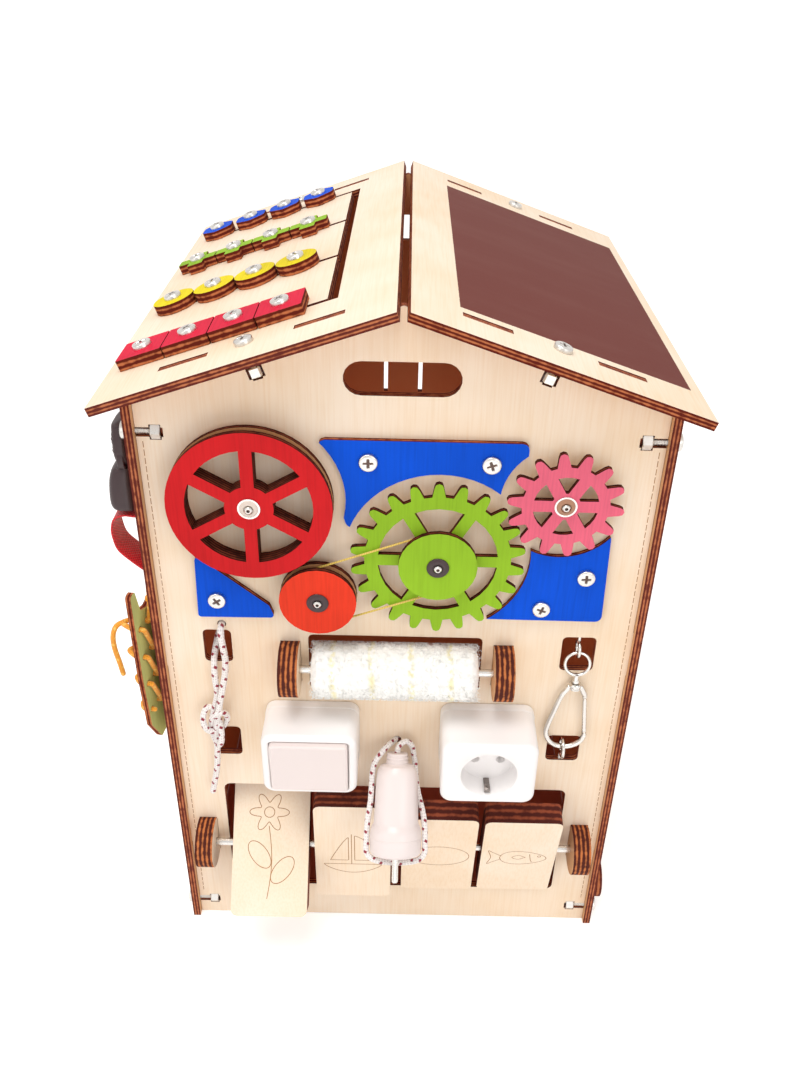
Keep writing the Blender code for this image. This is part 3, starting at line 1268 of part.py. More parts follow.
def make_swivel():
    """The hook's swivel: a ring through the upper screw eye, with a stem and a bead in the hook's collar."""
    x = TOP_EYE_AT[0]
    y = PANEL_FACE - SWIVEL_STAND
    lean = Matrix.Rotation(-radians(SWIVEL_LEAN_DEGREES), 4, "X")
    offset = SWIVEL_RADIUS * sin(radians(SWIVEL_LEAN_DEGREES))
    place = Matrix.Translation((x, y + offset, SWIVEL_CENTRE_HEIGHT)) @ lean @ Matrix.Rotation(pi / 2, 4, "X")
    path = [Vector((a, b, 0)) for a, b in circle((0, 0), SWIVEL_RADIUS, ROUND_STEPS)]
    swivel = as_mesh(tube("hook_swivel", path, SWIVEL_WIRE, place, STEEL, 1, looped=True))
    neck = SWIVEL_CENTRE_HEIGHT - SWIVEL_RADIUS * cos(radians(SWIVEL_LEAN_DEGREES)) + SWIVEL_WIRE / 2
    foot = HOOK_COLLAR_TOP - HOOK_COLLAR_HEIGHT - SEAT_GAP
    collar = HOOK_COLLAR_TOP + SEAT_GAP
    profile = [
        (0, neck),
        (SWIVEL_STEM_RADIUS, neck),
        (SWIVEL_BEAD_RADIUS, collar + SWIVEL_BEAD_HEIGHT),
        (SWIVEL_BEAD_RADIUS, collar),
        (SWIVEL_STEM_RADIUS, collar),
        (SWIVEL_STEM_RADIUS, foot),
        (SWIVEL_FOOT_RADIUS, foot),
        (SWIVEL_FOOT_RADIUS, foot - SWIVEL_FOOT_HEIGHT),
        (0, foot - SWIVEL_FOOT_HEIGHT),
    ]
    spot = Matrix.Translation((x, y, 0))
    stem = turned("swivel_stem", profile, spot, None, SMALL_STEPS, collection=CUTTERS)
    fuse(swivel, stem)


def hook_place():
    """The hook's frame, at its collar's lower edge, leaning a little towards the panel."""
    lean = Matrix.Rotation(radians(HOOK_LEAN_DEGREES), 4, "X")
    low = HOOK_COLLAR_TOP - HOOK_COLLAR_HEIGHT / 2
    return Matrix.Translation((TOP_EYE_AT[0], PANEL_FACE - SWIVEL_STAND, low)) @ lean


def make_hook():
    """The snap hook's body and its gate."""
    place = hook_place()
    path = smooth_path([(a, 0, b) for a, b in HOOK_ROUTE], ROUTE_STEP_SHARE * HOOK_WIRE)
    body = as_mesh(tube("hook_body", path, HOOK_WIRE, place, STEEL, 1))
    shoulder = smooth_path([(a, 0, b) for a, b in HOOK_SHOULDER], ROUTE_STEP_SHARE * HOOK_WIRE)
    fuse(body, as_mesh(tube("hook_shoulder", shoulder, HOOK_WIRE, place, fine=1, collection=CUTTERS)))
    bore = SWIVEL_STEM_RADIUS + FIT
    low, high = HOOK_COLLAR_TOP - HOOK_COLLAR_HEIGHT, HOOK_COLLAR_TOP
    profile = [(bore, high), (HOOK_COLLAR_RADIUS, high), (HOOK_COLLAR_RADIUS, low), (bore, low)]
    spot = Matrix.Translation((TOP_EYE_AT[0], PANEL_FACE - SWIVEL_STAND, 0))
    fuse(body, turned("hook_collar", profile, spot, None, SMALL_STEPS, closed=True, collection=CUTTERS))
    gate = smooth_path([(a, 0, b) for a, b in GATE_ENDS], GATE_STEP_SHARE * HOOK_WIRE)
    tube("hook_gate", gate, GATE_WIRE, place, STEEL, 1)


def ribbon(points, thickness):
    """The closed outline of a band of the given thickness along a path in a plane."""
    path = [Vector(p) for p in points]
    left, right = [], []
    for k, here in enumerate(path):
        ahead = path[min(k + 1, len(path) - 1)] - path[max(k - 1, 0)]
        across = Vector((-ahead.y, ahead.x)).normalized() * (thickness / 2)
        left.append(tuple(here + across))
        right.append(tuple(here - across))
    return left + list(reversed(right))


def make_strap():
    """The webbing strap, from its upper slot behind the buckle and round in a loop to its lower slot."""
    outer = HOUSE_WIDTH / 2
    place = place_on_front(0, 0, PANEL_FACE - STRAP_AT)
    bands = []
    for route in (STRAP_ROUTE, STRAP_LOOP):
        curve = smooth_path([(x, z, 0) for x, z in route], STRAP_STEP_SHARE * STRAP_THICKNESS)
        path = [(p.x, p.y) for p in curve]
        bands.append(ribbon(path, STRAP_THICKNESS))
    strap = flat("strap", [bands[0]], STRAP_WIDTH, place, WEBBING)
    fuse(strap, flat("strap_loop", [bands[1]], STRAP_WIDTH, place, None, CUTTERS))
    inner = outer + BUCKLE_INNER
    height = BUCKLE_HIGH - BUCKLE_LOW
    outline = [(-inner, BUCKLE_LOW), (-inner, BUCKLE_HIGH)]
    outline += [(-outer - BUCKLE_REACH * out, BUCKLE_LOW + height * up) for out, up in BUCKLE_SHARES]
    flat("buckle", [rounded(outline, STRAP_THICKNESS)], BUCKLE_WIDTH, place, BLACK)


def board_place():
    """The lacing board's frame: local X runs back from its front edge, Y up and Z away from the wall."""
    turn = Matrix.Rotation(-radians(BOARD_SWING_DEGREES), 4, "Z")
    hinge = Matrix.Translation((-HOUSE_WIDTH / 2 - BOARD_STAND - BOARD_PLY / 2, BOARD_HINGE_Y, 0))
    axes = Matrix(((0, 0, -1, 0), (1, 0, 0, 0), (0, 1, 0, 0), (0, 0, 0, 1)))
    return hinge @ turn @ axes @ Matrix.Translation((-BOARD_DEPTH, 0, 0))


def lace_routes():
    """The lace's way out of the wall and through the board's holes, and its loose tail."""
    place = board_place()
    out = BOARD_PLY / 2 + LACE_RADIUS + SEAT_GAP
    back, front = BOARD_HOLE_COLUMNS
    through = [out * step for step in LACE_THROUGH_SHARES]
    local = []
    for k, (height, bulge) in enumerate(zip(BOARD_HOLE_ROWS, LACE_BULGES)):
        if k:
            start, stop = Vector((front, BOARD_HOLE_ROWS[k - 1])), Vector((back, height))
            for share in LACE_DIAGONAL_SHARES:
                spot = start.lerp(stop, share)
                local.append((spot.x, spot.y, -out - LACE_RADIUS / 2))
        local += [(back, height, depth) for depth in through]
        local.append(((back + front) / 2, height, out + bulge))
        local += [(front, height, depth) for depth in reversed(through)]
    route = list(LACE_START) + [tuple(place @ Vector(spot)) for spot in local]
    peak = place @ Vector(((back + front) / 2, BOARD_HOLE_ROWS[0], out + LACE_BULGES[0]))
    return route, [tuple(peak + Vector(step)) for step in LACE_TAIL]


def ball(name, radius, at):
    """A small knot to be joined to its cord."""
    work = bmesh.new()
    bmesh.ops.create_uvsphere(work, u_segments=SMALL_STEPS, v_segments=BALL_RINGS, radius=radius)
    mesh = bpy.data.meshes.new(name)
    work.to_mesh(mesh)
    work.free()
    return link(bpy.data.objects.new(name, mesh), Matrix.Translation(at), CUTTERS)


def make_lacing():
    """The lacing board, and the lace that is threaded through it."""
    spots = [(column, row) for column in BOARD_HOLE_COLUMNS for row in BOARD_HOLE_ROWS]
    holes = [circle(spot, BOARD_HOLE_RADIUS, SMALL_STEPS) for spot in spots]
    corners = [(BOARD_DEPTH * back, BOARD_LOW + BOARD_HEIGHT * up) for back, up in BOARD_OUTLINE_SHARES]
    outline = rounded(corners, BOARD_CORNER)
    flat("lacing_board", [outline] + holes, BOARD_PLY, board_place(), OLIVE)
    main_route, tail_route = lace_routes()
    here = Matrix.Identity(4)
    spacing = LACE_STEP_SHARE * LACE_RADIUS
    lace = as_mesh(tube("lace", smooth_path(main_route, spacing), LACE_RADIUS, here, LACE, 1))
    tail = tube("lace_tail", smooth_path(tail_route, spacing), LACE_RADIUS, here, None, 1, collection=CUTTERS)
    fuse(lace, as_mesh(tail), ball("lace_knot", LACE_KNOT_RADIUS, LACE_START[-1]))


def make_knob():
    """The laminated disc on the right wall, with its pin and the disc that holds it inside."""
    y, z = KNOB_AT
    outer = HOUSE_WIDTH / 2 + SEAT_GAP
    inner = WALL_INSIDE - SEAT_GAP
    profile = [
        (0, outer + KNOB_THICKNESS),
        (KNOB_RADIUS, outer + KNOB_THICKNESS),
        (KNOB_RADIUS, outer),
        (KNOB_PIN_RADIUS, outer),
        (KNOB_PIN_RADIUS, inner),
        (KNOB_INNER_RADIUS, inner),
        (KNOB_INNER_RADIUS, inner - KNOB_INNER_THICKNESS),
        (0, inner - KNOB_INNER_THICKNESS),
    ]
    place = Matrix.Translation((0, y, z)) @ Matrix.Rotation(pi / 2, 4, "Y")
    turned("disc_knob", profile, place, PLYWOOD, ROUND_STEPS)


def main():
    """Makes the whole house."""
    make_front_panel()
    make_rear_panel()
    make_left_wall()
    make_right_wall()
    make_roof()
    make_sliders()
    make_large_wheel()
    make_small_pulley()
    make_gears()
    make_drive_band()
    make_plates()
    make_roller()
    make_blocks()
    make_switch()
    make_socket()
    make_plug()
    make_cords()
    make_lower_eye()
    make_swivel()
    make_hook()
    make_strap()
    make_lacing()
    make_knob()


main()
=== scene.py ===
"""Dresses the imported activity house: laser-cut birch, paints, metal fittings, cords, webbing, plastic boxes and fleece.

The file is laid out as an add-on and run as a script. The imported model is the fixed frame, in metres. Every new piece
is a surface worked out with numpy, as a function of two parameters or as a profile carried along a path.
"""

from itertools import accumulate
from math import cos, pi, radians, sin, tau

import bmesh
import bpy
import numpy as np
from bpy.props import FloatProperty, FloatVectorProperty, IntProperty, PointerProperty
from mathutils import Matrix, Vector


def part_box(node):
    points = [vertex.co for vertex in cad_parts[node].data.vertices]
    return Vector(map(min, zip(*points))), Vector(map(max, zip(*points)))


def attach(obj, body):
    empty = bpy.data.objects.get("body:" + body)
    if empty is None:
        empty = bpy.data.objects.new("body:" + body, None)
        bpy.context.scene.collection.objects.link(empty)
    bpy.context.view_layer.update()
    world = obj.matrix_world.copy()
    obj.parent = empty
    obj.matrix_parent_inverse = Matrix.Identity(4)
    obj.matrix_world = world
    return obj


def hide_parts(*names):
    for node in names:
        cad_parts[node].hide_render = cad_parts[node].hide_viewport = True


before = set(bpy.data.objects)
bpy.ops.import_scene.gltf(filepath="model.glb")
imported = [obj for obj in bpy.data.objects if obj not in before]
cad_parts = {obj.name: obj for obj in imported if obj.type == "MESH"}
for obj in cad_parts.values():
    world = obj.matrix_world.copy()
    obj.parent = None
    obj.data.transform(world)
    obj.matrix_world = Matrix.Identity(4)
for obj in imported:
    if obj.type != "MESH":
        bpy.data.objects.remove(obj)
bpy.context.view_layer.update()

bl_info = {
    "name": "Activity house",
    "version": (1, 0, 0),
    "blender": (4, 5, 0),
    "location": "View3D > Sidebar > Activity house",
    "description": "Dresses the wooden activity house with its finishes and fittings",
    "category": "Object",
}

# The house's own frame starts at the front edges of its side walls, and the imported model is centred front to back
REAR_FACE = 0.35725
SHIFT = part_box("rear_panel")[1].y - REAR_FACE
PANEL_FACE = 0.00525
PITCH = radians(19.0)
RIDGE_HEIGHT = 0.5626
RIDGE_HALF_GAP = 0.004
WALL_FACE = 0.175
FRONT = (0, -1, 0)
UP = (0, 0, 1)
ROOF_OUT = {side: (side * sin(PITCH), 0, cos(PITCH)) for side in (-1, 1)}

# Scales of the fibres' noise, in cycles a metre: 1.4 mm apart across the grain and 40 mm long along it
GRAIN_ALONG_Z = (700, 700, 24)
GRAIN_ALONG_Y = (700, 24, 700)
# Thickness of one ply in the painted pieces, and in the sliders and cheeks, and the sliders' height on the roof
PAINTED_PLY = 0.0013
LOOSE_PLY = 0.0018
SLIDER_FACE = 0.0075
# The switch's and the socket's boxes: the round of the front edge and the chamfer at the wall
BOX_EDGE_ROUND = 0.0042
BOX_CHAMFER = 0.0004
# Half the distance between the pins of the plug and of the socket
PIN_REACH = 0.0095
STRAP_MIDDLE_Y = 0.0245
# Distance between the points of the carried paths
CORD_STEP = 0.0012
LACE_STEP = 0.0008

# Routes of the cords, as the solids have them
ROPE_ROUTE = (
    (-0.1442, -0.0030, 0.1594), (-0.1415, -0.0032, 0.1720), (-0.1391, -0.0035, 0.1839), (-0.1375, -0.0038, 0.1965),
    (-0.1367, -0.0042, 0.2075), (-0.1358, -0.0050, 0.2200), (-0.1352, -0.0055, 0.2320), (-0.1325, -0.0078, 0.2440),
    (-0.1303, -0.0075, 0.2561), (-0.1274, -0.0060, 0.2694), (-0.1250, -0.0035, 0.2823), (-0.1240, -0.0032, 0.2939),
    (-0.1250, -0.0034, 0.3060), (-0.1258, -0.0026, 0.3165), (-0.1260, 0.0005, 0.3198), (-0.1260, 0.0060, 0.3200),
    (-0.1260, 0.0120, 0.3200), (-0.1268, 0.0165, 0.3180), (-0.1295, 0.0180, 0.3090), (-0.1325, 0.0150, 0.2990),
    (-0.1338, 0.0092, 0.2918), (-0.1336, 0.0025, 0.2885), (-0.1334, -0.0012, 0.2800), (-0.1330, -0.0025, 0.2700),
    (-0.1325, -0.0025, 0.2608), (-0.1354, -0.0035, 0.2484), (-0.1375, -0.0045, 0.2400),
)
ROPE_RADIUS = 0.0024
KNOT_AT = (-0.1355, -0.0050, 0.2302)
KNOT_LIFT = (0.0, -0.0006, 0.0032)
PLUG_CORD_ROUTE = (
    (0.0012, 0.0300, 0.2020), (0.0012, 0.0200, 0.2085), (0.0012, 0.0130, 0.2114), (0.0012, 0.0060, 0.2115),
    (-0.0030, -0.0004, 0.2130), (-0.0080, -0.0068, 0.2128), (-0.0120, -0.0108, 0.2095), (-0.0157, -0.0133, 0.2042),
    (-0.0172, -0.0179, 0.1977), (-0.0174, -0.0248, 0.1879), (-0.0182, -0.0317, 0.1780), (-0.0197, -0.0374, 0.1698),
    (-0.0204, -0.0432, 0.1616), (-0.0204, -0.0483, 0.1543), (-0.0210, -0.0518, 0.1494), (-0.0168, -0.0548, 0.1451),
    (-0.0092, -0.0559, 0.1435), (-0.0012, -0.0562, 0.1430), (0.0048, -0.0562, 0.1430), (0.0128, -0.0559, 0.1435),
    (0.0204, -0.0548, 0.1451), (0.0246, -0.0518, 0.1494), (0.0240, -0.0483, 0.1543), (0.0240, -0.0415, 0.1605),
    (0.0228, -0.0314, 0.1681), (0.0193, -0.0208, 0.1753), (0.0168, -0.0123, 0.1839), (0.0158, -0.0054, 0.1938),
    (0.0143, -0.0021, 0.2038), (0.0128, -0.0018, 0.2120), (0.0078, -0.0025, 0.2180), (0.0018, -0.0062, 0.2145),
    (0.0018, -0.0085, 0.2112), (0.0018, -0.0113, 0.2071),
)
PLUG_CORD_RADIUS = 0.0022
# The lace passes through the board and back in four rows, 25 mm apart, with a bulge beyond the board at each
LACE_ROWS = (
    (0.3160, (-0.1983, 0.0094)),
    (0.2910, (-0.1963, 0.0091)),
    (0.2660, (-0.1938, 0.0087)),
    (0.2410, (-0.1923, 0.0085)),
)
LACE_START = (
    (-0.1660, 0.0200, 0.3440), (-0.1750, 0.0200, 0.3440), (-0.1790, 0.0196, 0.3420), (-0.1790, 0.0170, 0.3320),
)
LACE_OUT = ((-0.1802, 0.0128), (-0.1831, 0.0132), (-0.1856, 0.0136), (-0.1885, 0.0140))
LACE_BACK = ((-0.1902, 0.0021), (-0.1873, 0.0017), (-0.1848, 0.0013), (-0.1819, 0.0009))
# Between two rows the lace runs down behind the board: two points, at these drops below the upper row
LACE_DOWN = ((-0.1808, 0.0020, 0.0025), (-0.1794, 0.0115, 0.0225))
LACE_TAIL = (
    (-0.1983, 0.0094, 0.3160), (-0.2023, 0.0074, 0.3150), (-0.2058, 0.0064, 0.3070), (-0.2068, 0.0074, 0.2940),
    (-0.2053, 0.0084, 0.2800), (-0.2043, 0.0094, 0.2680),
)
LACE_RADIUS = 0.0019
LACE_KNOT_AT = (-0.1790, 0.0170, 0.3320)


def lace_route():
    """The lace's points: its start, then each row out, round its bulge and back, and down to the row below."""
    route = list(LACE_START)
    for number, (height, bulge) in enumerate(LACE_ROWS):
        if number:
            route += [(x, y, LACE_ROWS[number - 1][0] - drop) for x, y, drop in LACE_DOWN]
        route += [(x, y, height) for x, y in (*LACE_OUT, bulge, *LACE_BACK)]
    return route


def linear(hex_colour):
    """Turns an sRGB hex value to linear: a twelfth of it when dark, and otherwise the 2.4 power curve."""
    channels = np.array([int(hex_colour[k : k + 2], 16) for k in (1, 3, 5)]) / 255
    dark, bright = channels / 12.92, ((channels + 0.055) / 1.055) ** 2.4
    return (*np.where(channels <= 0.04045, dark, bright).tolist(), 1.0)


def colour_value(name, description, hex_colour):
    """One colour that a user can change, with its default written as an sRGB hex value."""
    return FloatVectorProperty(
        name=name, description=description, subtype="COLOR", size=4, min=0, max=1, default=linear(hex_colour)
    )


def length_value(name, description, metres):
    """One length that a user can change, in metres."""
    return FloatProperty(name=name, description=description, default=metres, min=0, unit="LENGTH", precision=5)


class ActivityHouseColours(bpy.types.PropertyGroup):
    """The colours of the house's finishes."""

    veneer: colour_value("Veneer", "Birch face veneer", "#F7E6D1")
    veneer_shade: colour_value("Veneer shade", "Darker streaks in the veneer", "#EED4B4")
    burnt: colour_value("Burnt edge", "Laser-burnt edge of the plywood", "#5F2016")
    burnt_pale: colour_value("Burnt edge, pale ply", "The paler plies in a burnt edge", "#BE7048")
    # Inside is painted shade: the inner faces of the walls and the backs of pieces are drawn darker brown because
    # little light reaches them
    inside: colour_value("Inside", "Smoked inner faces of the walls", "#D7A374")
    engraved: colour_value("Engraved line", "Lines burnt into the veneer", "#B98A57")
    chalkboard: colour_value("Chalkboard", "Chalkboard paint on the right roof", "#692F26")
    red: colour_value("Red", "Red of the large wheel", "#CF1F24")
    orange: colour_value("Orange red", "Paint of the small pulley", "#E93E25")
    green: colour_value("Green", "Green of the large gear", "#94C02C")
    pink: colour_value("Pink", "Pink of the small gear", "#EC6C84")
    blue: colour_value("Blue", "Blue of the plates and hexagons", "#0454DC")
    crimson: colour_value("Crimson", "Paint of the square sliders", "#E0183F")
    yellow: colour_value("Yellow", "Paint of the round sliders", "#F0DA12")
    olive: colour_value("Pale green", "Paint of the lacing board", "#CCD187")
    zinc: colour_value("Zinc", "Zinc plated steel", "#D6D3CE")
    white: colour_value("White plastic", "Plastic of the switch and socket", "#F5F2F1")
    warm_white: colour_value("Warm white plastic", "Plastic of the rocker and the plug", "#E6DAD7")
    dark: colour_value("Dark plastic", "Plastic of the buckle and the caps", "#2F171B")
    fleece: colour_value("Fleece", "Pile of the paint roller", "#FFFFFC")
    webbing: colour_value("Webbing", "Red polypropylene webbing", "#D6101E")
    cord: colour_value("Cord", "White braid of the cords", "#F5EFEC")
    fleck: colour_value("Fleck", "Dark red yarn in the cords", "#8E1830")
    lace: colour_value("Lace", "Orange lace", "#FFA82A")


class ActivityHouseSizes(bpy.types.PropertyGroup):
    """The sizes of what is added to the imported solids."""

    screw_radius: length_value("Screw radius", "Radius of a pan head screw", 0.00625)
    screw_height: length_value("Screw height", "Height of a pan head screw", 0.0036)
    washer_radius: length_value("Washer radius", "Radius of the axles' washers", 0.0074)
    nut_across: length_value("Nut width", "Width of a nut across its flats", 0.0100)
    bolt_radius: length_value("Bolt radius", "Radius of a bolt's thread", 0.0029)
    thread_pitch: length_value("Thread pitch", "Height of one turn of a bolt's thread", 0.0010)
    engraving: length_value("Engraved line", "Width of an engraved line", 0.0006)
    pile: length_value("Pile", "Length of the roller's loose fibres", 0.0042)
    tuft: length_value("Tuft", "Distance between the roller's tufts", 0.0034)
    fibres: IntProperty(name="Fibres", description="Number of loose fibres on the roller", default=5200, min=0)


def add_node(tree, kind, settings=None):
    """Adds one node and gives its outputs. Each setting is a property or an input of the node by its name or number,
    and its value is a constant or another node's output."""
    node = tree.nodes.new(kind)
    for name, value in (settings or {}).items():
        if isinstance(value, bpy.types.NodeSocket):
            tree.links.new(value, node.inputs[name])
        elif isinstance(name, str) and hasattr(node, name):
            setattr(node, name, value)
        else:
            node.inputs[name].default_value = value
    return node.outputs


def math_node(tree, operation, *values):
    """One sum, of constants or other nodes' outputs."""
    return add_node(tree, "ShaderNodeMath", {"operation": operation, **dict(enumerate(values))})[0]


def range_node(tree, value, low, high, to_low=0.0, to_high=1.0):
    """Carries a value from one range to another, and holds it inside."""
    settings = {"From Min": low, "From Max": high, "To Min": to_low, "To Max": to_high, "Value": value}
    return add_node(tree, "ShaderNodeMapRange", settings)["Result"]


def mix_node(tree, share, first, second):
    """A colour between two, by a share from 0 to 1."""
    return add_node(tree, "ShaderNodeMix", {"data_type": "RGBA", 0: share, 6: first, 7: second})[2]


def noise_node(tree, where, scale, detail):
    """Clouds of noise, from 0 to 1, at a scale in cycles a metre."""
    return add_node(tree, "ShaderNodeTexNoise", {"Scale": scale, "Detail": detail, "Vector": where})["Fac"]


def dot_node(tree, vector, axis):
    """How far a vector reaches along an axis."""
    return add_node(tree, "ShaderNodeVectorMath", {"operation": "DOT_PRODUCT", 0: vector, 1: axis})["Value"]


def add_bump(tree, shader, height, strength, distance):
    """Gives the shader a relief of that height in metres."""
    settings = {"Strength": strength, "Distance": distance, "Height": height}
    tree.links.new(add_node(tree, "ShaderNodeBump", settings)["Normal"], shader.inputs["Normal"])


def own_uv(tree):
    """The two values of the piece's own UV map."""
    split = add_node(tree, "ShaderNodeUVMap", {"uv_map": "UVMap"})["UV"]
    return add_node(tree, "ShaderNodeSeparateXYZ", {"Vector": split})


def darkened(colour, share):
    """The same colour with its three parts times the share."""
    return tuple(share * part for part in colour[:3]) + (1.0,)


def new_material(name, colour, roughness, metallic=0.0, ior=1.5):
    """Starts a material with its plain values on the shader's own sockets."""
    material = bpy.data.materials.new(name)
    material.use_nodes = True
    tree = material.node_tree
    shader = tree.nodes["Principled BSDF"]
    shader.inputs["Base Color"].default_value = colour
    shader.inputs["Roughness"].default_value = roughness
    shader.inputs["Metallic"].default_value = metallic
    if not metallic:
        shader.inputs["IOR"].default_value = ior
    return material, tree, shader


def laser_cut_birch(name, axis, outer, layer=0.0012, grain=GRAIN_ALONG_Z, paint=None, paint_depth=None, film=None,
                    both=False, edges=None):
    """Birch plywood cut by a laser. Its faces show pale veneer with fine fibres, or paint that lets them through, and
    its cut edges are burnt brown with paler plies. Faces square to the axis are faces and all others are edges; the
    plies follow the distance along the axis, from the outer face in. Paint lies on the face towards the axis, or on
    both faces, and a paint depth limits it to the outermost layer. A film is the chalkboard's rectangle. Edges are the
    dark and the pale ply's colours."""
    colours = bpy.context.scene.activity_house_colours
    dark_ply, pale_ply = edges or (colours.burnt, colours.burnt_pale)
    material, tree, shader = new_material(name, colours.veneer, 0.55)
    shader.inputs["Specular IOR Level"].default_value = 0.3 if paint is None and film is None else 0.1
    given = add_node(tree, "ShaderNodeTexCoord")
    lean, depth = dot_node(tree, given["Normal"], axis), dot_node(tree, given["Object"], axis)
    level = math_node(tree, "ABSOLUTE", lean)
    is_edge = range_node(tree, level, 0.45, 0.6, 1.0, 0.0)

    # Fine fibres, and clouds of tone 70 mm wide
    along = add_node(tree, "ShaderNodeMapping", {"Scale": grain, "Vector": given["Object"]})["Vector"]
    fibres = noise_node(tree, along, 1.0, 3.0)
    streaks = range_node(tree, fibres, 0.42, 0.75)
    broad = range_node(tree, noise_node(tree, given["Object"], 14.0, 2.0), 0.35, 0.75, 0.0, 0.75)
    half = math_node(tree, "MULTIPLY_ADD", streaks, 0.45, broad)
    bare = (colours.veneer, colours.veneer_shade)
    if paint_depth is not None:
        # Painted shade: the flanges behind a painted layer sit in the groove's shade, so their bare faces are drawn
        # darker brown
        bare = (linear("#C79468"), linear("#AE7B50"))
    face = mix_node(tree, half, *bare)

    if paint is None:
        # The side turned away from the axis gets the inside colour: painted shade, darker brown where little light
        # reaches between the walls
        face = mix_node(tree, range_node(tree, lean, -0.45, -0.6), face, colours.inside)
    else:
        coat = mix_node(tree, half, paint, darkened(paint, 0.72))
        is_coated = range_node(tree, level if both else lean, 0.45, 0.6)
        if paint_depth is not None:
            near = math_node(tree, "GREATER_THAN", depth, outer - paint_depth)
            is_coated = math_node(tree, "MULTIPLY", is_coated, near)
        face = mix_node(tree, is_coated, face, coat)
    if film is not None:
        face = chalk_film(tree, given["Object"], face, film)

    # Burnt edge: one pale and one dark ply in each pair of layers, broken up by scorch marks 5 mm long
    turns = tau / (2 * layer)
    wave = math_node(tree, "SINE", math_node(tree, "MULTIPLY_ADD", depth, turns, -outer * turns))
    marks = range_node(tree, noise_node(tree, given["Object"], 190.0, 3.0), 0.3, 0.7, -0.8, 0.8)
    pale = range_node(tree, math_node(tree, "ADD", wave, marks), -0.2, 1.1)
    whole = mix_node(tree, is_edge, face, mix_node(tree, pale, dark_ply, pale_ply))
    tree.links.new(whole, shader.inputs["Base Color"])
    tree.links.new(range_node(tree, is_edge, 0.0, 1.0, 0.55, 0.85), shader.inputs["Roughness"])
    add_bump(tree, shader, fibres, 0.35, 0.00012)
    return material


def chalk_film(tree, where, face, film):
    """Chalkboard paint in a rectangle: dull dark brown with a bloom of chalk dust left by wiping. The rectangle is
    measured down the roof and along Y, and its edge wanders by a fifth of a millimetre."""
    down, near, far, front, rear = film
    ragged = math_node(tree, "MULTIPLY_ADD", noise_node(tree, where, 900.0, 1.0), 0.0004, -0.0002)
    inside = []
    for axis, low, high in ((down, near, far), ((0, 1, 0), front, rear)):
        way = math_node(tree, "ADD", dot_node(tree, where, axis), ragged)
        inside += [math_node(tree, "GREATER_THAN", way, low), math_node(tree, "LESS_THAN", way, high)]
    mask = inside[0]
    for other in inside[1:]:
        mask = math_node(tree, "MULTIPLY", mask, other)
    wiped = add_node(tree, "ShaderNodeMapping", {"Scale": (9, 30, 9), "Vector": where})["Vector"]
    settings = {"Scale": 1.0, "Detail": 6.0, "Roughness": 0.6, "Vector": wiped}
    bloom = range_node(tree, add_node(tree, "ShaderNodeTexNoise", settings)["Fac"], 0.45, 0.9, 0.0, 0.12)
    board = mix_node(tree, bloom, bpy.context.scene.activity_house_colours.chalkboard, linear("#9A7468"))
    return mix_node(tree, mask, face, board)


def zinc_plated_steel(name, roughness=0.24):
    """Bright zinc plating on turned or pressed steel: a soft mirror with cloudy patches 3 mm wide, and painted shade, a
    darker colour, where the attribute named hollow marks a recess."""
    colours = bpy.context.scene.activity_house_colours
    material, tree, shader = new_material(name, colours.zinc, roughness, metallic=1.0)
    clouds = noise_node(tree, add_node(tree, "ShaderNodeTexCoord")["Object"], 350.0, 3.0)
    rough = range_node(tree, clouds, 0.3, 0.7, roughness - 0.08, roughness + 0.14)
    tree.links.new(rough, shader.inputs["Roughness"])
    hollow = add_node(tree, "ShaderNodeAttribute", {"attribute_name": "hollow"})["Fac"]
    # Painted shade: where the hollow attribute is set, the colour goes to a dark brown-grey
    tree.links.new(mix_node(tree, hollow, colours.zinc, linear("#5A4A44")), shader.inputs["Base Color"])
    return material


def moulded_plastic(name, colour, roughness):
    """Moulded ABS: smooth and half gloss, with the faint orange peel of the mould, 0.6 mm across."""
    material, tree, shader = new_material(name, colour, roughness, ior=1.53)
    peel = noise_node(tree, add_node(tree, "ShaderNodeTexCoord")["Object"], 1600.0, 2.0)
    add_bump(tree, shader, peel, 0.12, 0.00004)
    return material


def braided_cord(name, colour, fleck=None, strand=0.0022):
    """A braided polyester sleeve: two sets of yarns that cross on a slant, one strand wide, seen as small diamonds
    with shaded gaps, and a coloured yarn that shows as flecks. It reads the piece's own UV map, whose first value is
    the share of the way round and whose second is the distance along in metres."""
    material, tree, shader = new_material(name, colour, 0.7, ior=1.5)
    both = own_uv(tree)
    turns = {}
    # Each yarn: its turns round the cord and its rise in one wave
    yarns = (("right", 4, 2 * strand), ("left", -4, 2 * strand), ("yarn", 1, 0.0074), ("gap", -2, 0.0148))
    for key, round_turns, pitch in yarns:
        share = math_node(tree, "MULTIPLY", both["X"], round_turns * tau)
        turns[key] = math_node(tree, "COSINE", math_node(tree, "MULTIPLY_ADD", both["Y"], tau / pitch, share))
    weave = math_node(tree, "MULTIPLY", turns["right"], turns["left"])
    add_bump(tree, shader, weave, 0.7, 0.0003)
    body = mix_node(tree, range_node(tree, weave, 0.1, -0.9, 0.0, 0.75), colour, darkened(colour, 0.62))
    if fleck is not None:
        shown = [range_node(tree, turns[key], low, high) for key, low, high in (("yarn", 0.45, 0.7), ("gap", 0.0, 0.4))]
        body = mix_node(tree, math_node(tree, "MULTIPLY", *shown), body, fleck)
    tree.links.new(body, shader.inputs["Base Color"])
    shader.inputs["Sheen Weight"].default_value = 0.25
    return material


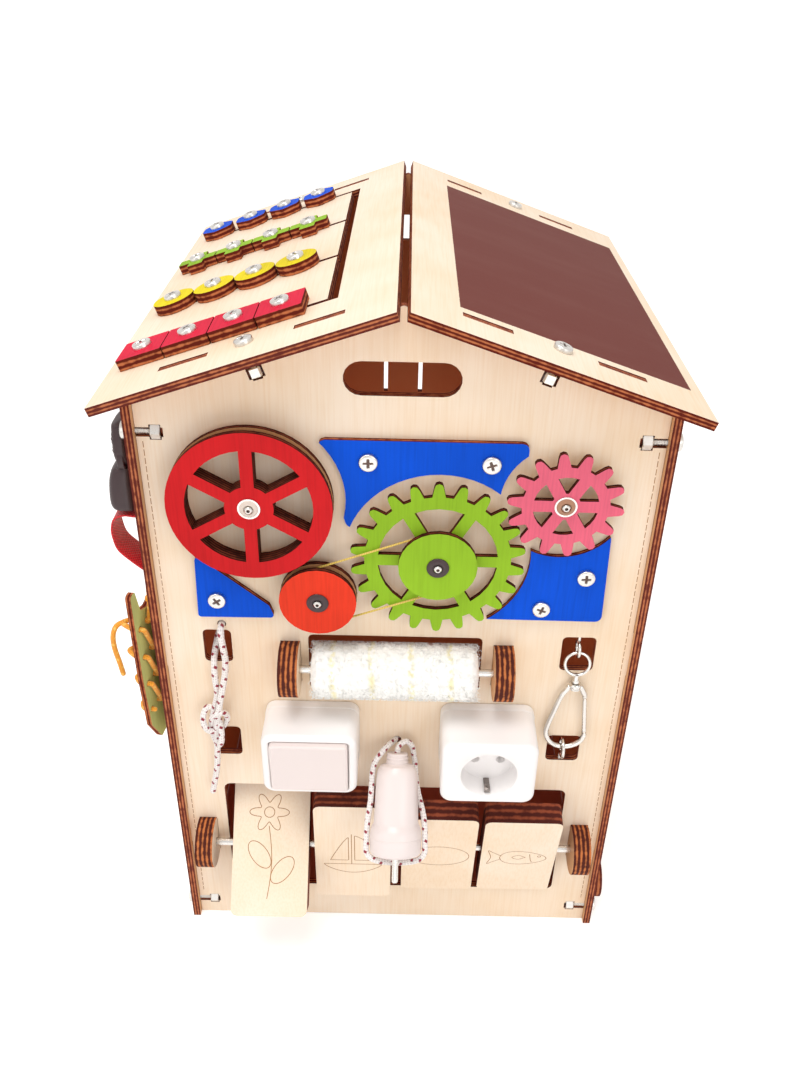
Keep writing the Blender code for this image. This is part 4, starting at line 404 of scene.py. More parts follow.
def woven_webbing(name, colour):
    """Polypropylene webbing: warp cords 1.6 mm apart along the strap, tied down by wefts 1.2 mm apart, so that it looks
    ribbed, with painted shade in the troughs between the crowns, and shines a little on the crowns. It reads the UV
    map, in metres across and along."""
    material, tree, shader = new_material(name, colour, 0.5, ior=1.49)
    both = own_uv(tree)
    crowns = []
    for way, wave_length in ((both["X"], 0.0032), (both["Y"], 0.0024)):
        crowns.append(math_node(tree, "SINE", math_node(tree, "MULTIPLY", way, tau / wave_length)))
    over = math_node(tree, "MULTIPLY", *crowns)
    add_bump(tree, shader, over, 0.6, 0.0003)
    # Painted shade: the troughs between the crowns are drawn darker
    yarn = mix_node(tree, range_node(tree, over, 0.2, -1.0), colour, darkened(colour, 0.45))
    tree.links.new(yarn, shader.inputs["Base Color"])
    shader.inputs["Sheen Weight"].default_value = 0.15
    return material


def knitted_fleece(name, colour):
    """Knitted polyamide roller pile: matt white tufts, with painted shade, a little greyer, where the attribute named
    hollow says so, and a faint yellow yarn that winds round the sleeve every 28 mm."""
    material, tree, shader = new_material(name, colour, 0.95, ior=1.5)
    given = add_node(tree, "ShaderNodeTexCoord")["Object"]
    across = add_node(tree, "ShaderNodeSeparateXYZ", {"Vector": given})
    slant = math_node(tree, "MULTIPLY_ADD", across["Z"], 0.06, across["X"])
    band = math_node(tree, "COSINE", math_node(tree, "MULTIPLY", slant, tau / 0.028))
    broken = range_node(tree, noise_node(tree, given, 260.0, 3.0), 0.42, 0.6, 0.0, 0.8)
    mask = math_node(tree, "MULTIPLY", range_node(tree, band, 0.8, 1.0), broken)
    yarn = mix_node(tree, mask, colour, linear("#F6EDB4"))
    # Painted shade: the hollow attribute greys the pile
    hollow = add_node(tree, "ShaderNodeAttribute", {"attribute_name": "hollow"})["Fac"]
    tree.links.new(mix_node(tree, hollow, yarn, linear("#F3EFE9")), shader.inputs["Base Color"])
    shader.inputs["Sheen Weight"].default_value = 0.4
    return material


def rubber_band(name):
    """Yellow elastic: silky thread round a rubber core, with a twist 1.1 mm long."""
    yellow = linear("#E9CF6A")
    material, tree, shader = new_material(name, yellow, 0.55, ior=1.52)
    given = add_node(tree, "ShaderNodeTexCoord")["Object"]
    twist = add_node(tree, "ShaderNodeTexWave", {"Scale": 280.0, "Distortion": 0.5, "Vector": given})["Fac"]
    tree.links.new(mix_node(tree, twist, yellow, linear("#C89F3C")), shader.inputs["Base Color"])
    return material


def burnt_line(name):
    """A line that the laser drew: caramel brown and dull, with darker dwell spots 2 mm apart."""
    engraved = bpy.context.scene.activity_house_colours.engraved
    material, tree, shader = new_material(name, engraved, 0.9)
    spots = noise_node(tree, add_node(tree, "ShaderNodeTexCoord")["Object"], 500.0, 2.0)
    tree.links.new(mix_node(tree, spots, engraved, linear("#8F5E33")), shader.inputs["Base Color"])
    return material


def house(points):
    """Moves points from the house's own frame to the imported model's: only Y shifts."""
    return np.asarray(points, float) + np.array([0.0, SHIFT, 0.0])


def placed(points, origin, out, up=UP):
    """Puts points given as right, up and out onto a surface: origin + right, up and out times their unit vectors."""
    out = np.asarray(out, float) / np.linalg.norm(out)
    right = np.cross(np.asarray(up, float), out)
    right /= np.linalg.norm(right)
    axes = np.array([right, np.cross(out, right), out])
    return np.asarray(origin, float) + np.asarray(points, float) @ axes


def on_roof(side, down, y, height):
    """A point of the roof: that far down the slope from the ridge, along Y, and above its top face."""
    slope = down * cos(PITCH) + height * sin(PITCH)
    fall = RIDGE_HEIGHT - down * sin(PITCH) + height * cos(PITCH)
    return np.array([side * (RIDGE_HALF_GAP + slope), y + SHIFT, fall])


def add_object(name, data):
    """Makes an object of the data and links it to the scene."""
    made = bpy.data.objects.new(name, data)
    bpy.context.scene.collection.objects.link(made)
    return made


def make_piece(name, grids, material, body, uvs=None, hollow=None, sharp=40.0, replaces=()):
    """Makes one piece from grids of points, whose cells are its faces. Points that meet at a seam or a pole are
    merged, the faces are turned outwards, and edges sharper than the angle stay crisp."""
    corners, quads, flat, shades, start = [], [], [], [], 0
    for k, grid in enumerate(grids):
        grid = np.asarray(grid, float)
        grid = grid if grid.ndim == 4 else grid[None]
        count, rows, columns = grid.shape[:3]
        index = start + np.arange(count * rows * columns).reshape(count, rows, columns)
        cells = [index[:, :-1, :-1], index[:, :-1, 1:], index[:, 1:, 1:], index[:, 1:, :-1]]
        quads.append(np.stack(cells, axis=-1).reshape(-1, 4))
        corners.append(grid.reshape(-1, 3))
        start += count * rows * columns
        if uvs is not None:
            flat.append(np.broadcast_to(uvs[k], (count, rows, columns, 2)).reshape(-1, 2))
        if hollow is not None:
            shades.append(np.broadcast_to(hollow[k], (count, rows, columns)).reshape(-1))
    points, quads = np.concatenate(corners), np.concatenate(quads)
    mesh = bpy.data.meshes.new(name)
    mesh.vertices.add(len(points))
    mesh.vertices.foreach_set("co", points.ravel())
    mesh.loops.add(quads.size)
    mesh.loops.foreach_set("vertex_index", quads.ravel())
    mesh.polygons.add(len(quads))
    mesh.polygons.foreach_set("loop_start", np.arange(0, quads.size, 4))
    mesh.polygons.foreach_set("loop_total", np.full(len(quads), 4))
    if uvs is not None:
        layer = mesh.uv_layers.new(name="UVMap")
        layer.data.foreach_set("uv", np.concatenate(flat)[quads.ravel()].ravel())
    if hollow is not None:
        mesh.attributes.new("hollow", "FLOAT", "POINT").data.foreach_set("value", np.concatenate(shades))
    mesh.update(calc_edges=True)
    work = bmesh.new()
    work.from_mesh(mesh)
    bmesh.ops.remove_doubles(work, verts=work.verts, dist=1e-6)
    bmesh.ops.recalc_face_normals(work, faces=work.faces)
    work.to_mesh(mesh)
    work.free()
    mesh.polygons.foreach_set("use_smooth", np.ones(len(mesh.polygons), bool))
    mesh.set_sharp_from_angle(angle=radians(sharp))
    mesh.materials.append(material)
    piece = add_object(name, mesh)
    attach(piece, body)
    if replaces:
        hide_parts(*replaces)
    return piece


def finish_node(node, material):
    """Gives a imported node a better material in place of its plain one."""
    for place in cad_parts[node].material_slots:
        place.material = material


def smooth_route(points, steps=12):
    """A curve through all the points: between two of them a cubic, whose slope at each is half the way from the point
    before it to the point after it."""
    line = np.asarray(points, float)
    line = np.vstack([2 * line[0] - line[1], line, 2 * line[-1] - line[-2]])
    before, here, there, after = (line[k : len(line) - 3 + k][:, None] for k in range(4))
    t = np.linspace(0, 1, steps, endpoint=False)[None, :, None]
    curve = 2 * here + (there - before) * t + (2 * before - 5 * here + 4 * there - after) * t**2
    curve = 0.5 * (curve + (3 * here - before - 3 * there + after) * t**3)
    return np.vstack([curve.reshape(-1, line.shape[1]), line[-2:-1]])


def evenly(path, spacing):
    """The same path with its points that far apart, by interpolating along its length."""
    far = np.concatenate([[0], np.cumsum(np.linalg.norm(np.diff(path, axis=0), axis=1))])
    steps = np.linspace(0, far[-1], max(2, int(round(far[-1] / spacing)) + 1))
    return np.stack([np.interp(steps, far, path[:, k]) for k in range(path.shape[1])], axis=1)


def relaxed(path, rounds=14):
    """The same path with its bends eased: each point moves to the mean of itself, twice, and its two neighbours."""
    path = path.copy()
    for _ in range(rounds):
        path[1:-1] = (path[:-2] + 2 * path[1:-1] + path[2:]) / 4
    return path


def length_of(path):
    """The length of a path: the sum of the distances between its points."""
    return float(np.linalg.norm(np.diff(path, axis=0), axis=1).sum())


def carry_side(side, tangent):
    """Turns a side vector square to the next tangent, by taking off its part along that tangent."""
    side = side - tangent * (side @ tangent)
    return side / np.linalg.norm(side)


def carried(profile, path, side=None, swell=None):
    """A closed profile carried along a path: path + first value * side vector + second value * third vector, where the
    two vectors turn with the path as little as they can. Swell scales each ring. Gives the grid and its UVs, which
    are the share of the way round and the distance along."""
    path, profile = np.asarray(path, float), np.asarray(profile, float)
    tangents = np.gradient(path, axis=0)
    tangents /= np.linalg.norm(tangents, axis=1)[:, None]
    if side is None:
        side = np.eye(3)[np.argmin(np.abs(tangents[0]))]
    start = carry_side(np.asarray(side, float), tangents[0])
    sides = np.array(list(accumulate(tangents[1:], carry_side, initial=start)))
    third = np.cross(tangents, sides)
    swell = np.ones(len(path)) if swell is None else np.asarray(swell, float)
    across = (swell[:, None] * profile[:, 0])[..., None] * sides[:, None]
    upward = (swell[:, None] * profile[:, 1])[..., None] * third[:, None]
    far = np.concatenate([[0], np.cumsum(np.linalg.norm(np.diff(path, axis=0), axis=1))])
    share = np.linspace(0, 1, len(profile))
    uv = np.stack(np.broadcast_arrays(share[None, :], far[:, None]), axis=-1)
    return path[:, None] + across + upward, uv


def tube(path, radius, columns=16, looped=False):
    """A round tube along a path, closed at both ends with half balls, or into a ring."""
    path = np.asarray(path, float)
    angle = np.linspace(0, tau, columns + 1)
    ring = radius * np.stack([np.cos(angle), np.sin(angle)], axis=1)
    if looped:
        return carried(ring, path)
    turn = np.linspace(pi / 2, 0, 6)[:-1]
    first = (path[0] - path[1]) / np.linalg.norm(path[0] - path[1])
    last = (path[-1] - path[-2]) / np.linalg.norm(path[-1] - path[-2])
    start = path[0] + first * (radius * np.sin(turn))[:, None]
    end = path[-1] + last * (radius * np.sin(turn[::-1]))[:, None]
    swell = np.concatenate([np.cos(turn), np.ones(len(path)), np.cos(turn[::-1])])
    swell[[0, -1]] = 0
    return carried(ring, np.vstack([start, path, end]), swell=swell)


def turned(profile, columns=48, outline=None):
    """A turned surface: each row is a ring at the profile's radius and height. Outline, a function of the angle,
    scales the radius where the piece isn't round."""
    radius, height = np.asarray(profile, float).T
    angle = np.linspace(0, tau, columns + 1)
    reach = radius[:, None] * (np.ones_like(angle) if outline is None else outline(angle))
    return np.stack([reach * np.cos(angle), reach * np.sin(angle), height[:, None] + 0 * angle], axis=-1)


def hexagon(angle):
    """A hexagon's reach as a share of its corner's: the cosine of 30 degrees over that of the angle to the flat."""
    return cos(pi / 6) / np.cos(np.mod(angle, pi / 3) - pi / 6)


def rounded_ring(half_width, half_height, corner, steps=8):
    """Rings of rounded rectangles, one for each size given: corner centre + corner radius times cosine and sine."""
    given = (half_width, half_height, corner)
    half_width, half_height, corner = (np.atleast_1d(np.asarray(each, float))[:, None] for each in given)
    quarter = np.linspace(0, pi / 2, steps + 1)
    angle = (quarter[None] + np.arange(4)[:, None] * pi / 2).ravel()
    middle = np.repeat(np.arange(4) * pi / 2 + pi / 4, steps + 1)
    x = np.sign(np.cos(middle)) * (half_width - corner) + corner * np.cos(angle)
    y = np.sign(np.sin(middle)) * (half_height - corner) + corner * np.sin(angle)
    ring = np.stack([x, y], axis=-1)
    return np.concatenate([ring, ring[:, :1]], axis=1)


def even_rings(rings, count):
    """The same closed rings with that many points each, equally far apart along the ring."""
    spread = [evenly(ring, length_of(ring) / (count - 1))[:count] for ring in rings]
    return np.stack(spread)


def lofted(ring, height):
    """Stacks rings into a grid: each ring lies at its own height."""
    height = np.broadcast_to(np.asarray(height, float)[:, None, None], ring.shape[:2] + (1,))
    return np.concatenate([ring, height], axis=-1)


def knot_loop(centre, sizes, steps):
    """A three-lobed knot: sin t + 2 sin 2t, sin 3t and cos t - 2 cos 2t, each times its own size, round the centre."""
    t = np.linspace(0, tau, steps)
    lobes = np.stack([np.sin(t) + 2 * np.sin(2 * t), np.sin(3 * t), np.cos(t) - 2 * np.cos(2 * t)], axis=1)
    return house(np.asarray(centre) + lobes * sizes)


def capped(grid, first=None, last=None):
    """Closes a carried grid at both ends with a fan to one point, which is the middle of its end ring if none is
    given."""
    first = grid[0].mean(axis=0) if first is None else first
    last = grid[-1].mean(axis=0) if last is None else last
    start, end = (np.broadcast_to(point, grid[:1].shape) for point in (first, last))
    return np.concatenate([start, grid, end])


def on_axis(ring):
    """A ring drawn in to the axis at its own height, which closes a turned or lofted surface."""
    return ring * np.array([0, 0, 1])


def box_sides(half_width, half_height, top, corner):
    """Half widths, half heights, corners and levels of a moulded box's sides, from the wall to its rounded edge."""
    bend = np.linspace(0, pi / 2, 6)
    inset = BOX_EDGE_ROUND * (1 - np.cos(bend))
    widths, heights = ([half - BOX_CHAMFER, half, *(half - inset)] for half in (half_width, half_height))
    rounds = [corner, corner, *(corner - 0.7 * inset)]
    levels = [BOX_CHAMFER, 2 * BOX_CHAMFER, *(top - BOX_EDGE_ROUND + BOX_EDGE_ROUND * np.sin(bend))]
    return widths, heights, rounds, levels


def base_rim(half_width, half_height, corner, origin):
    """The lip of a box's base, whose upper edge shows as a seam 8 mm from the wall."""
    proud = np.array([0.00005, 0.0003, 0.0003, 0.00005])
    ring = rounded_ring(half_width + proud, half_height + proud, [corner] * 4)
    rim = lofted(ring, [0.0006, 0.0008, 0.0076, 0.0079])
    return placed(np.concatenate([rim, rim[:1]]), origin, FRONT)


def pan_head(radius, height):
    """A pan head with a cross recess: the height is a slight dome with a rounded shoulder, and the cross is cut where
    the smaller of the distances to its two arms is under half their width, with soft sides."""
    shoulder, arm_width, arm_reach = 0.32 * radius, 0.16 * radius, 0.58 * radius
    depth, centre_depth = 0.0009, 0.0011
    dome = np.linspace(0, 1, 20)[1:] * radius
    angle = np.linspace(0, tau, 65)
    edge = np.clip((dome - (radius - shoulder)) / shoulder, 0, 1)
    top = height * (1 - 0.10 * (dome / radius) ** 2) - shoulder * 0.45 * (1 - np.sqrt(1 - edge**2))
    x, y = dome[:, None] * np.cos(angle), dome[:, None] * np.sin(angle)
    arm, reach = np.minimum(abs(x), abs(y)), np.maximum(abs(x), abs(y))
    sides = np.clip((arm_width - arm) / (0.06 * radius), 0, 1)
    ends = np.clip((arm_reach - reach) / (0.12 * radius), 0, 1)
    cut = sides * ends
    shown = np.stack([x, y, top[:, None] - depth * cut * (1 - 0.4 * reach / radius)], axis=-1)
    skirt = np.stack([radius * np.cos(angle), radius * np.sin(angle), 0 * angle], axis=-1)[None]
    grid = capped(np.concatenate([shown, skirt]), (0, 0, height - centre_depth), (0, 0, 0))
    flat = np.zeros((1, len(angle)))
    # The hollow values paint shade into the cross recess and its middle
    hollow = np.concatenate([flat + 1, cut, flat, flat])
    return grid, hollow


class HouseOperator:
    """What all the operators share: they run once, and report that they finished."""

    bl_options = {"REGISTER", "UNDO"}

    def execute(self, context):
        """Makes the pieces, and raises if one can't be made."""
        self.make(context.scene.activity_house_sizes, context.scene.activity_house_colours)
        return {"FINISHED"}


class HOUSE_OT_camera(HouseOperator, bpy.types.Operator):
    """Sets the camera at the photograph's place, height, direction and lens"""

    bl_idname = "house.camera"
    bl_label = "Camera"

    def make(self, sizes, colours):
        yaw, pitch, roll = 0.00267, 0.56585, 0.02354
        focal_pixels, frame_height, sensor = 987.36, 1080, 36.0
        spot = (0.00223, -0.55783 + SHIFT, 0.75189)
        ahead = np.array([sin(yaw) * cos(pitch), cos(yaw) * cos(pitch), -sin(pitch)])
        level = np.array([cos(yaw), -sin(yaw), 0.0])
        upright = np.cross(level, ahead)
        right = cos(roll) * level + sin(roll) * upright
        up = cos(roll) * upright - sin(roll) * level
        data = bpy.data.cameras.new("photo_camera")
        data.sensor_width = sensor
        data.lens = sensor * focal_pixels / frame_height
        camera = add_object("photo_camera", data)
        place = Matrix.Identity(4)
        for k, column in enumerate((right, up, -ahead, spot)):
            for j in range(3):
                place[j][k] = float(column[j])
        camera.matrix_world = place
        bpy.context.scene.camera = camera


class HOUSE_OT_cords(HouseOperator, bpy.types.Operator):
    """Makes the knotted rope, the plug's cord and the lace along their routes"""

    bl_idname = "house.cords"
    bl_label = "Rope, cord and lace"

    def make(self, sizes, colours):
        flecked = braided_cord("flecked_polyester_braid", colours.cord, colours.fleck)
        self.rope(flecked)
        self.plug_cord(flecked)
        self.lace(braided_cord("orange_polyester_lace", colours.lace, linear("#FFC65E"), strand=0.0011))

    def rope(self, material):
        path = house(relaxed(evenly(smooth_route(ROPE_ROUTE), CORD_STEP)))[::-1]
        grid, uv = tube(path, ROPE_RADIUS, 20)
        rope = make_piece("rope_braid", [grid], material, "house", [uv], replaces=["rope"])
        loop = knot_loop(np.array(KNOT_AT) + KNOT_LIFT, (0.0032, 0.0034, 0.0068), 181)
        grid, uv = tube(loop, ROPE_RADIUS * 0.94, 20, looped=True)
        knot = make_piece("rope_knot", [grid], material, "house", [uv])

    def plug_cord(self, material):
        path = house(relaxed(evenly(smooth_route(PLUG_CORD_ROUTE), CORD_STEP)))
        grid, uv = tube(path, PLUG_CORD_RADIUS, 18)
        cord = make_piece("plug_braid", [grid], material, "house", [uv], replaces=["plug_cord"])

    def lace(self, material):
        path = house(evenly(smooth_route(lace_route()), LACE_STEP))
        grid, uv = tube(path, LACE_RADIUS, 14)
        lace = make_piece("threaded_lace", [grid], material, "house", [uv], replaces=["lace"])
        tail_path = house(relaxed(evenly(smooth_route(LACE_TAIL), LACE_STEP)))
        grid, uv = tube(tail_path, LACE_RADIUS, 14)
        tail = make_piece("lace_tail", [grid], material, "house", [uv])
        loop = knot_loop(LACE_KNOT_AT, (0.0006, 0.0009, 0.0008), 121)
        grid, uv = tube(loop, LACE_RADIUS * 0.8, 12, looped=True)
        knot = make_piece("lace_knot", [grid], material, "house", [uv])


class HOUSE_OT_panels(HouseOperator, bpy.types.Operator):
    """Finishes the house's plates as laser-cut birch, with the chalkboard on the right roof"""

    bl_idname = "house.panels"
    bl_label = "Walls and roof"

    def make(self, sizes, colours):
        finish_node("front_panel", laser_cut_birch("birch_front", FRONT, -PANEL_FACE - SHIFT))
        finish_node("rear_panel", laser_cut_birch("birch_rear", (0, 1, 0), REAR_FACE + SHIFT))
        finish_node("left_wall", laser_cut_birch("birch_left_wall", (-1, 0, 0), WALL_FACE))
        finish_node("right_wall", laser_cut_birch("birch_right_wall", (1, 0, 0), WALL_FACE))
        self.guide_lines()
        ridge = on_roof(1, 0, 0, 0)
        down = np.array([cos(PITCH), 0, -sin(PITCH)])
        start = float(down @ ridge)
        # The film's rectangle: from 31.5 to 188 mm down the slope, and from 19.4 to 333 mm along the roof
        film = (tuple(down), start + 0.0315, start + 0.188, 0.0194 + SHIFT, 0.333 + SHIFT)
        outer = float(np.array(ROOF_OUT[1]) @ ridge)
        right = laser_cut_birch("birch_roof_right", ROOF_OUT[1], outer, grain=GRAIN_ALONG_Y, film=film)
        finish_node("roof_right", right)
        finish_node("roof_left", laser_cut_birch("birch_roof_left", ROOF_OUT[-1], outer, grain=GRAIN_ALONG_Y))

    def guide_lines(self):
        """Faint dashes burnt down the front beside the walls: each a flat bar, 4.5 mm long, every 6 mm."""
        half, proud, sunk = 0.00025, 0.00006, 0.00002
        reach, bottom, top, pitch = 0.1648, 0.028, 0.462, 0.006
        bar = np.array([(-half, 0), (-half, proud), (half, proud), (half, 0), (-half, 0)])
        grids = []
        for side in (-1, 1):
            for low in np.arange(bottom, top, pitch):
                steps = (0, 0.0015, 0.003, 0.0045)
                path = house([(side * reach, PANEL_FACE - sunk, low + step) for step in steps])
                grid, _ = carried(bar, path, side=(1, 0, 0))
                grids.append(capped(grid, path[0], path[-1]))
        make_piece("guide_lines", grids, burnt_line("laser_guide_line"), "house", sharp=60)


class HOUSE_OT_paintwork(HouseOperator, bpy.types.Operator):
    """Finishes the wheels, gears, plates, sliders, lacing board and knob as painted birch"""

    bl_idname = "house.paintwork"
    bl_label = "Painted birch"

    def make(self, sizes, colours):
        # The outer faces of the wheels and of the plates, as distances towards the front
        wheel_face, plate_face = 0.01225 - SHIFT, -0.00095 - SHIFT
        wheel_edges = (linear("#34110C"), linear("#7A3A26"))
        for node, paint, depth in (
            ("large_wheel", colours.red, 0.002),
            ("small_pulley", colours.orange, 0.002),
            ("green_gear", colours.green, None),
            ("pink_gear", colours.pink, None),
        ):
            coat = laser_cut_birch(f"painted_birch_{node}", FRONT, wheel_face, PAINTED_PLY, paint=paint,
                                   paint_depth=depth, edges=wheel_edges)
            finish_node(node, coat)
        blue = laser_cut_birch("painted_birch_plates", FRONT, plate_face, PAINTED_PLY, paint=colours.blue)
        for node in ("plate_top", "plate_left", "plate_right"):
            finish_node(node, blue)
        outer = float(np.array(ROOF_OUT[-1]) @ on_roof(-1, 0, 0, SLIDER_FACE))
        for kind, paint in (
            ("square", colours.crimson),
            ("disc", colours.yellow),
            ("cross", colours.green),
            ("hexagon", colours.blue),
        ):
            name = f"painted_birch_{kind}"
            coat = laser_cut_birch(name, ROOF_OUT[-1], outer, LOOSE_PLY, grain=GRAIN_ALONG_Y, paint=paint)
            for number in range(1, 5):
                finish_node(f"{kind}_slider_{number}", coat)
        swing, board_face = radians(8.3), 0.1815
        board_out = (-cos(swing), sin(swing), 0)
        board = laser_cut_birch(
            "painted_birch_board", board_out, board_face, PAINTED_PLY, paint=colours.olive, both=True
        )
        finish_node("lacing_board", board)
        finish_node("disc_knob", laser_cut_birch("birch_knob", (1, 0, 0), 0.1833, 0.002))
        cheek_edges = (linear("#4A1A10"), linear("#C5733F"))
        cheek = laser_cut_birch("birch_cheeks", (1, 0, 0), 0.0, LOOSE_PLY, edges=cheek_edges)
        for node in ("roller_cheek_left", "roller_cheek_right", "block_cheek_left", "block_cheek_right"):
            finish_node(node, cheek)
        finish_node("drive_band", rubber_band("yellow_elastic_cord"))


class HOUSE_OT_screws(HouseOperator, bpy.types.Operator):
    """Makes the cross-head screws of the sliders and the blue plates"""

    bl_idname = "house.screws"
    bl_label = "Screws"

    def make(self, sizes, colours):
        steel = zinc_plated_steel("zinc_plated_screw")
        grid, hollow = pan_head(sizes.screw_radius, sizes.screw_height)
        seat, plate_seat = SLIDER_FACE - 0.0001, 0.00105
        turns = iter(np.random.default_rng(7).uniform(0, pi / 2, 32))
        for kind, y in (("square", 0.041), ("disc", 0.1355), ("cross", 0.230), ("hexagon", 0.3245)):
            for number, down in enumerate((0.0752, 0.1068, 0.1384, 0.1700), start=1):
                angle = next(turns)
                up = (cos(angle) * cos(PITCH), sin(angle), cos(angle) * sin(PITCH))
                points = placed(grid, on_roof(-1, down, y, seat), ROOF_OUT[-1], up)
                name = f"{kind}_screw_{number}"
                make_piece(name, [points], steel, f"{kind}_{number}", hollow=[hollow])
        spots = ((-0.0210, 0.4556), (0.0581, 0.4556), (-0.1265, 0.3444), (0.1283, 0.3699), (0.1000, 0.3428))
        for number, (x, z) in enumerate(spots, start=1):
            angle = next(turns)
            points = placed(grid, house((x, plate_seat, z)), FRONT, (sin(angle), 0, cos(angle)))
            make_piece(f"plate_screw_{number}", [points], steel, "house", hollow=[hollow])


class HOUSE_OT_bolts(HouseOperator, bpy.types.Operator):
    """Makes the bolts and nuts that hold the roof and the walls to the front and rear panels"""

    bl_idname = "house.bolts"
    bl_label = "Bolts and nuts"

    def make(self, sizes, colours):
        steel = zinc_plated_steel("zinc_plated_bolt", 0.3)
        head = pan_head(sizes.screw_radius * 0.97, sizes.screw_height)
        lift, down, heights = 0.0001, 0.0975, (0.471, 0.017)
        number = 0
        for y in (0.00825, 0.35425):
            for side in (-1, 1):
                number += 1
                seat = on_roof(side, down, y, lift)
                self.bolt(f"roof_bolt_{number}", seat, ROOF_OUT[side], (0, 1, 0), 0.0153, head, steel, sizes)
                for height in heights:
                    number += 1
                    seat = house((side * (WALL_FACE + lift), y, height))
                    self.bolt(f"wall_bolt_{number}", seat, (side, 0, 0), UP, 0.0155, head, steel, sizes)

    def bolt(self, name, seat, out, up, nut_depth, head, steel, sizes):
        """A head on the seat, a shank whose radius is a sine wave with one turn a thread, and a nut on it."""
        length, groove, nut_height, play, ease = 0.0165, 0.0002, 0.0068, 0.0002, 0.0005
        shank = np.linspace(-length, 0.0, 166)
        wave = sizes.bolt_radius - groove * (1 + np.cos(tau * shank / sizes.thread_pitch))
        thread = turned([(0, shank[0]), *zip(wave, shank), (0, 0)], 24)
        corner = sizes.nut_across / 2 / cos(pi / 6)
        low, high = -nut_depth - nut_height, -nut_depth - play
        profile = [(0, low), (corner * 0.9, low), (corner, low + ease), (corner, high - ease)]
        profile += [(corner * 0.9, high), (0, high)]
        nut = turned(profile, 48, hexagon)
        grids = [placed(part, seat, out, up) for part in (head[0], thread, nut)]
        shades = [head[1], np.zeros(thread.shape[:2]), np.zeros(nut.shape[:2])]
        make_piece(name, grids, steel, "house", hollow=shades, sharp=32)


class HOUSE_OT_axles(HouseOperator, bpy.types.Operator):
    """Makes the wheels' axles, with their washers, caps and nuts"""

    bl_idname = "house.axles"
    bl_label = "Axles"

    def make(self, sizes, colours):
        steel = zinc_plated_steel("zinc_plated_axle", 0.22)
        cap = moulded_plastic("dark_nylon_cap", colours.dark, 0.4)
        pale = moulded_plastic("pale_nylon_cap", linear("#D9CBBF"), 0.35)
        brown = moulded_plastic("brown_nylon_cap", linear("#A87A5E"), 0.45)
        bolt_radius, washer = 0.0029, 0.0007
        # Each axle's place, how far its wheel stands out, its cap's plastic and the cap's radius
        wide = sizes.washer_radius + 0.0002
        for node, x, z, face, material, rim in (
            ("large_wheel_axle", -0.0972, 0.4265, 0.01755, pale, 0.0062),
            ("small_pulley_axle", -0.0550, 0.3530, 0.01755, cap, wide),
            ("green_gear_axle", 0.0260, 0.3840, 0.01755, cap, wide),
            ("pink_gear_axle", 0.107652, 0.428518, 0.00955, brown, 0.0062),
        ):
            origin = house((x, PANEL_FACE, z))
            radius = sizes.washer_radius
            crown = np.linspace(0, pi / 2, 9)[:6]
            dome = [(rim * cos(a), face + washer + 0.0016 * sin(a)) for a in crown]
            dish = [(0.0034, face + 0.0017), (0.0030, face + 0.0008), (0, face + 0.0008)]
            ring = [(0, face + 0.0006), (rim, face + 0.0006), *dome, *dish]
            tip = [(0, face - 0.001), (0.0026, face - 0.001), (0.0026, face + 0.0026), (0.0019, face + 0.0033)]
            tip += [(0.0011, face + 0.0033), (0.0008, face + 0.0024), (0, face + 0.0024)]
            nut = [(0, -0.0108), (0.0058, -0.0108), (0.0062, -0.0103), (0.0062, -0.0068), (0.0058, -0.0063)]
            grids = [
                turned([(0, face), (radius, face), (radius, face + washer), (0, face + washer)]),
                turned(tip, 32),
                turned([(0, -0.0125), (bolt_radius, -0.0125), (bolt_radius, face), (0, face)], 32),
                turned([(0, 0.0003), (0.006, 0.0003), (0.006, 0.0052), (0, 0.0052)]),
                turned([*nut, (0, -0.0063)], 48, hexagon),
            ]
            shades = [np.zeros(grid.shape[:2]) for grid in grids]
            # Painted shade inside the tip's drilled end, through the hollow attribute
            shades[1] = shades[1] + np.array([0, 0, 0, 0, 0.5, 1, 1])[:, None]
            grids = [placed(grid, origin, FRONT) for grid in grids]
            name = node.replace("axle", "bolt")
            make_piece(name, grids, steel, "house", hollow=shades, replaces=[node])
            grid = placed(turned(ring), origin, FRONT)
            make_piece(node.replace("axle", "cap"), [grid], material, "house")


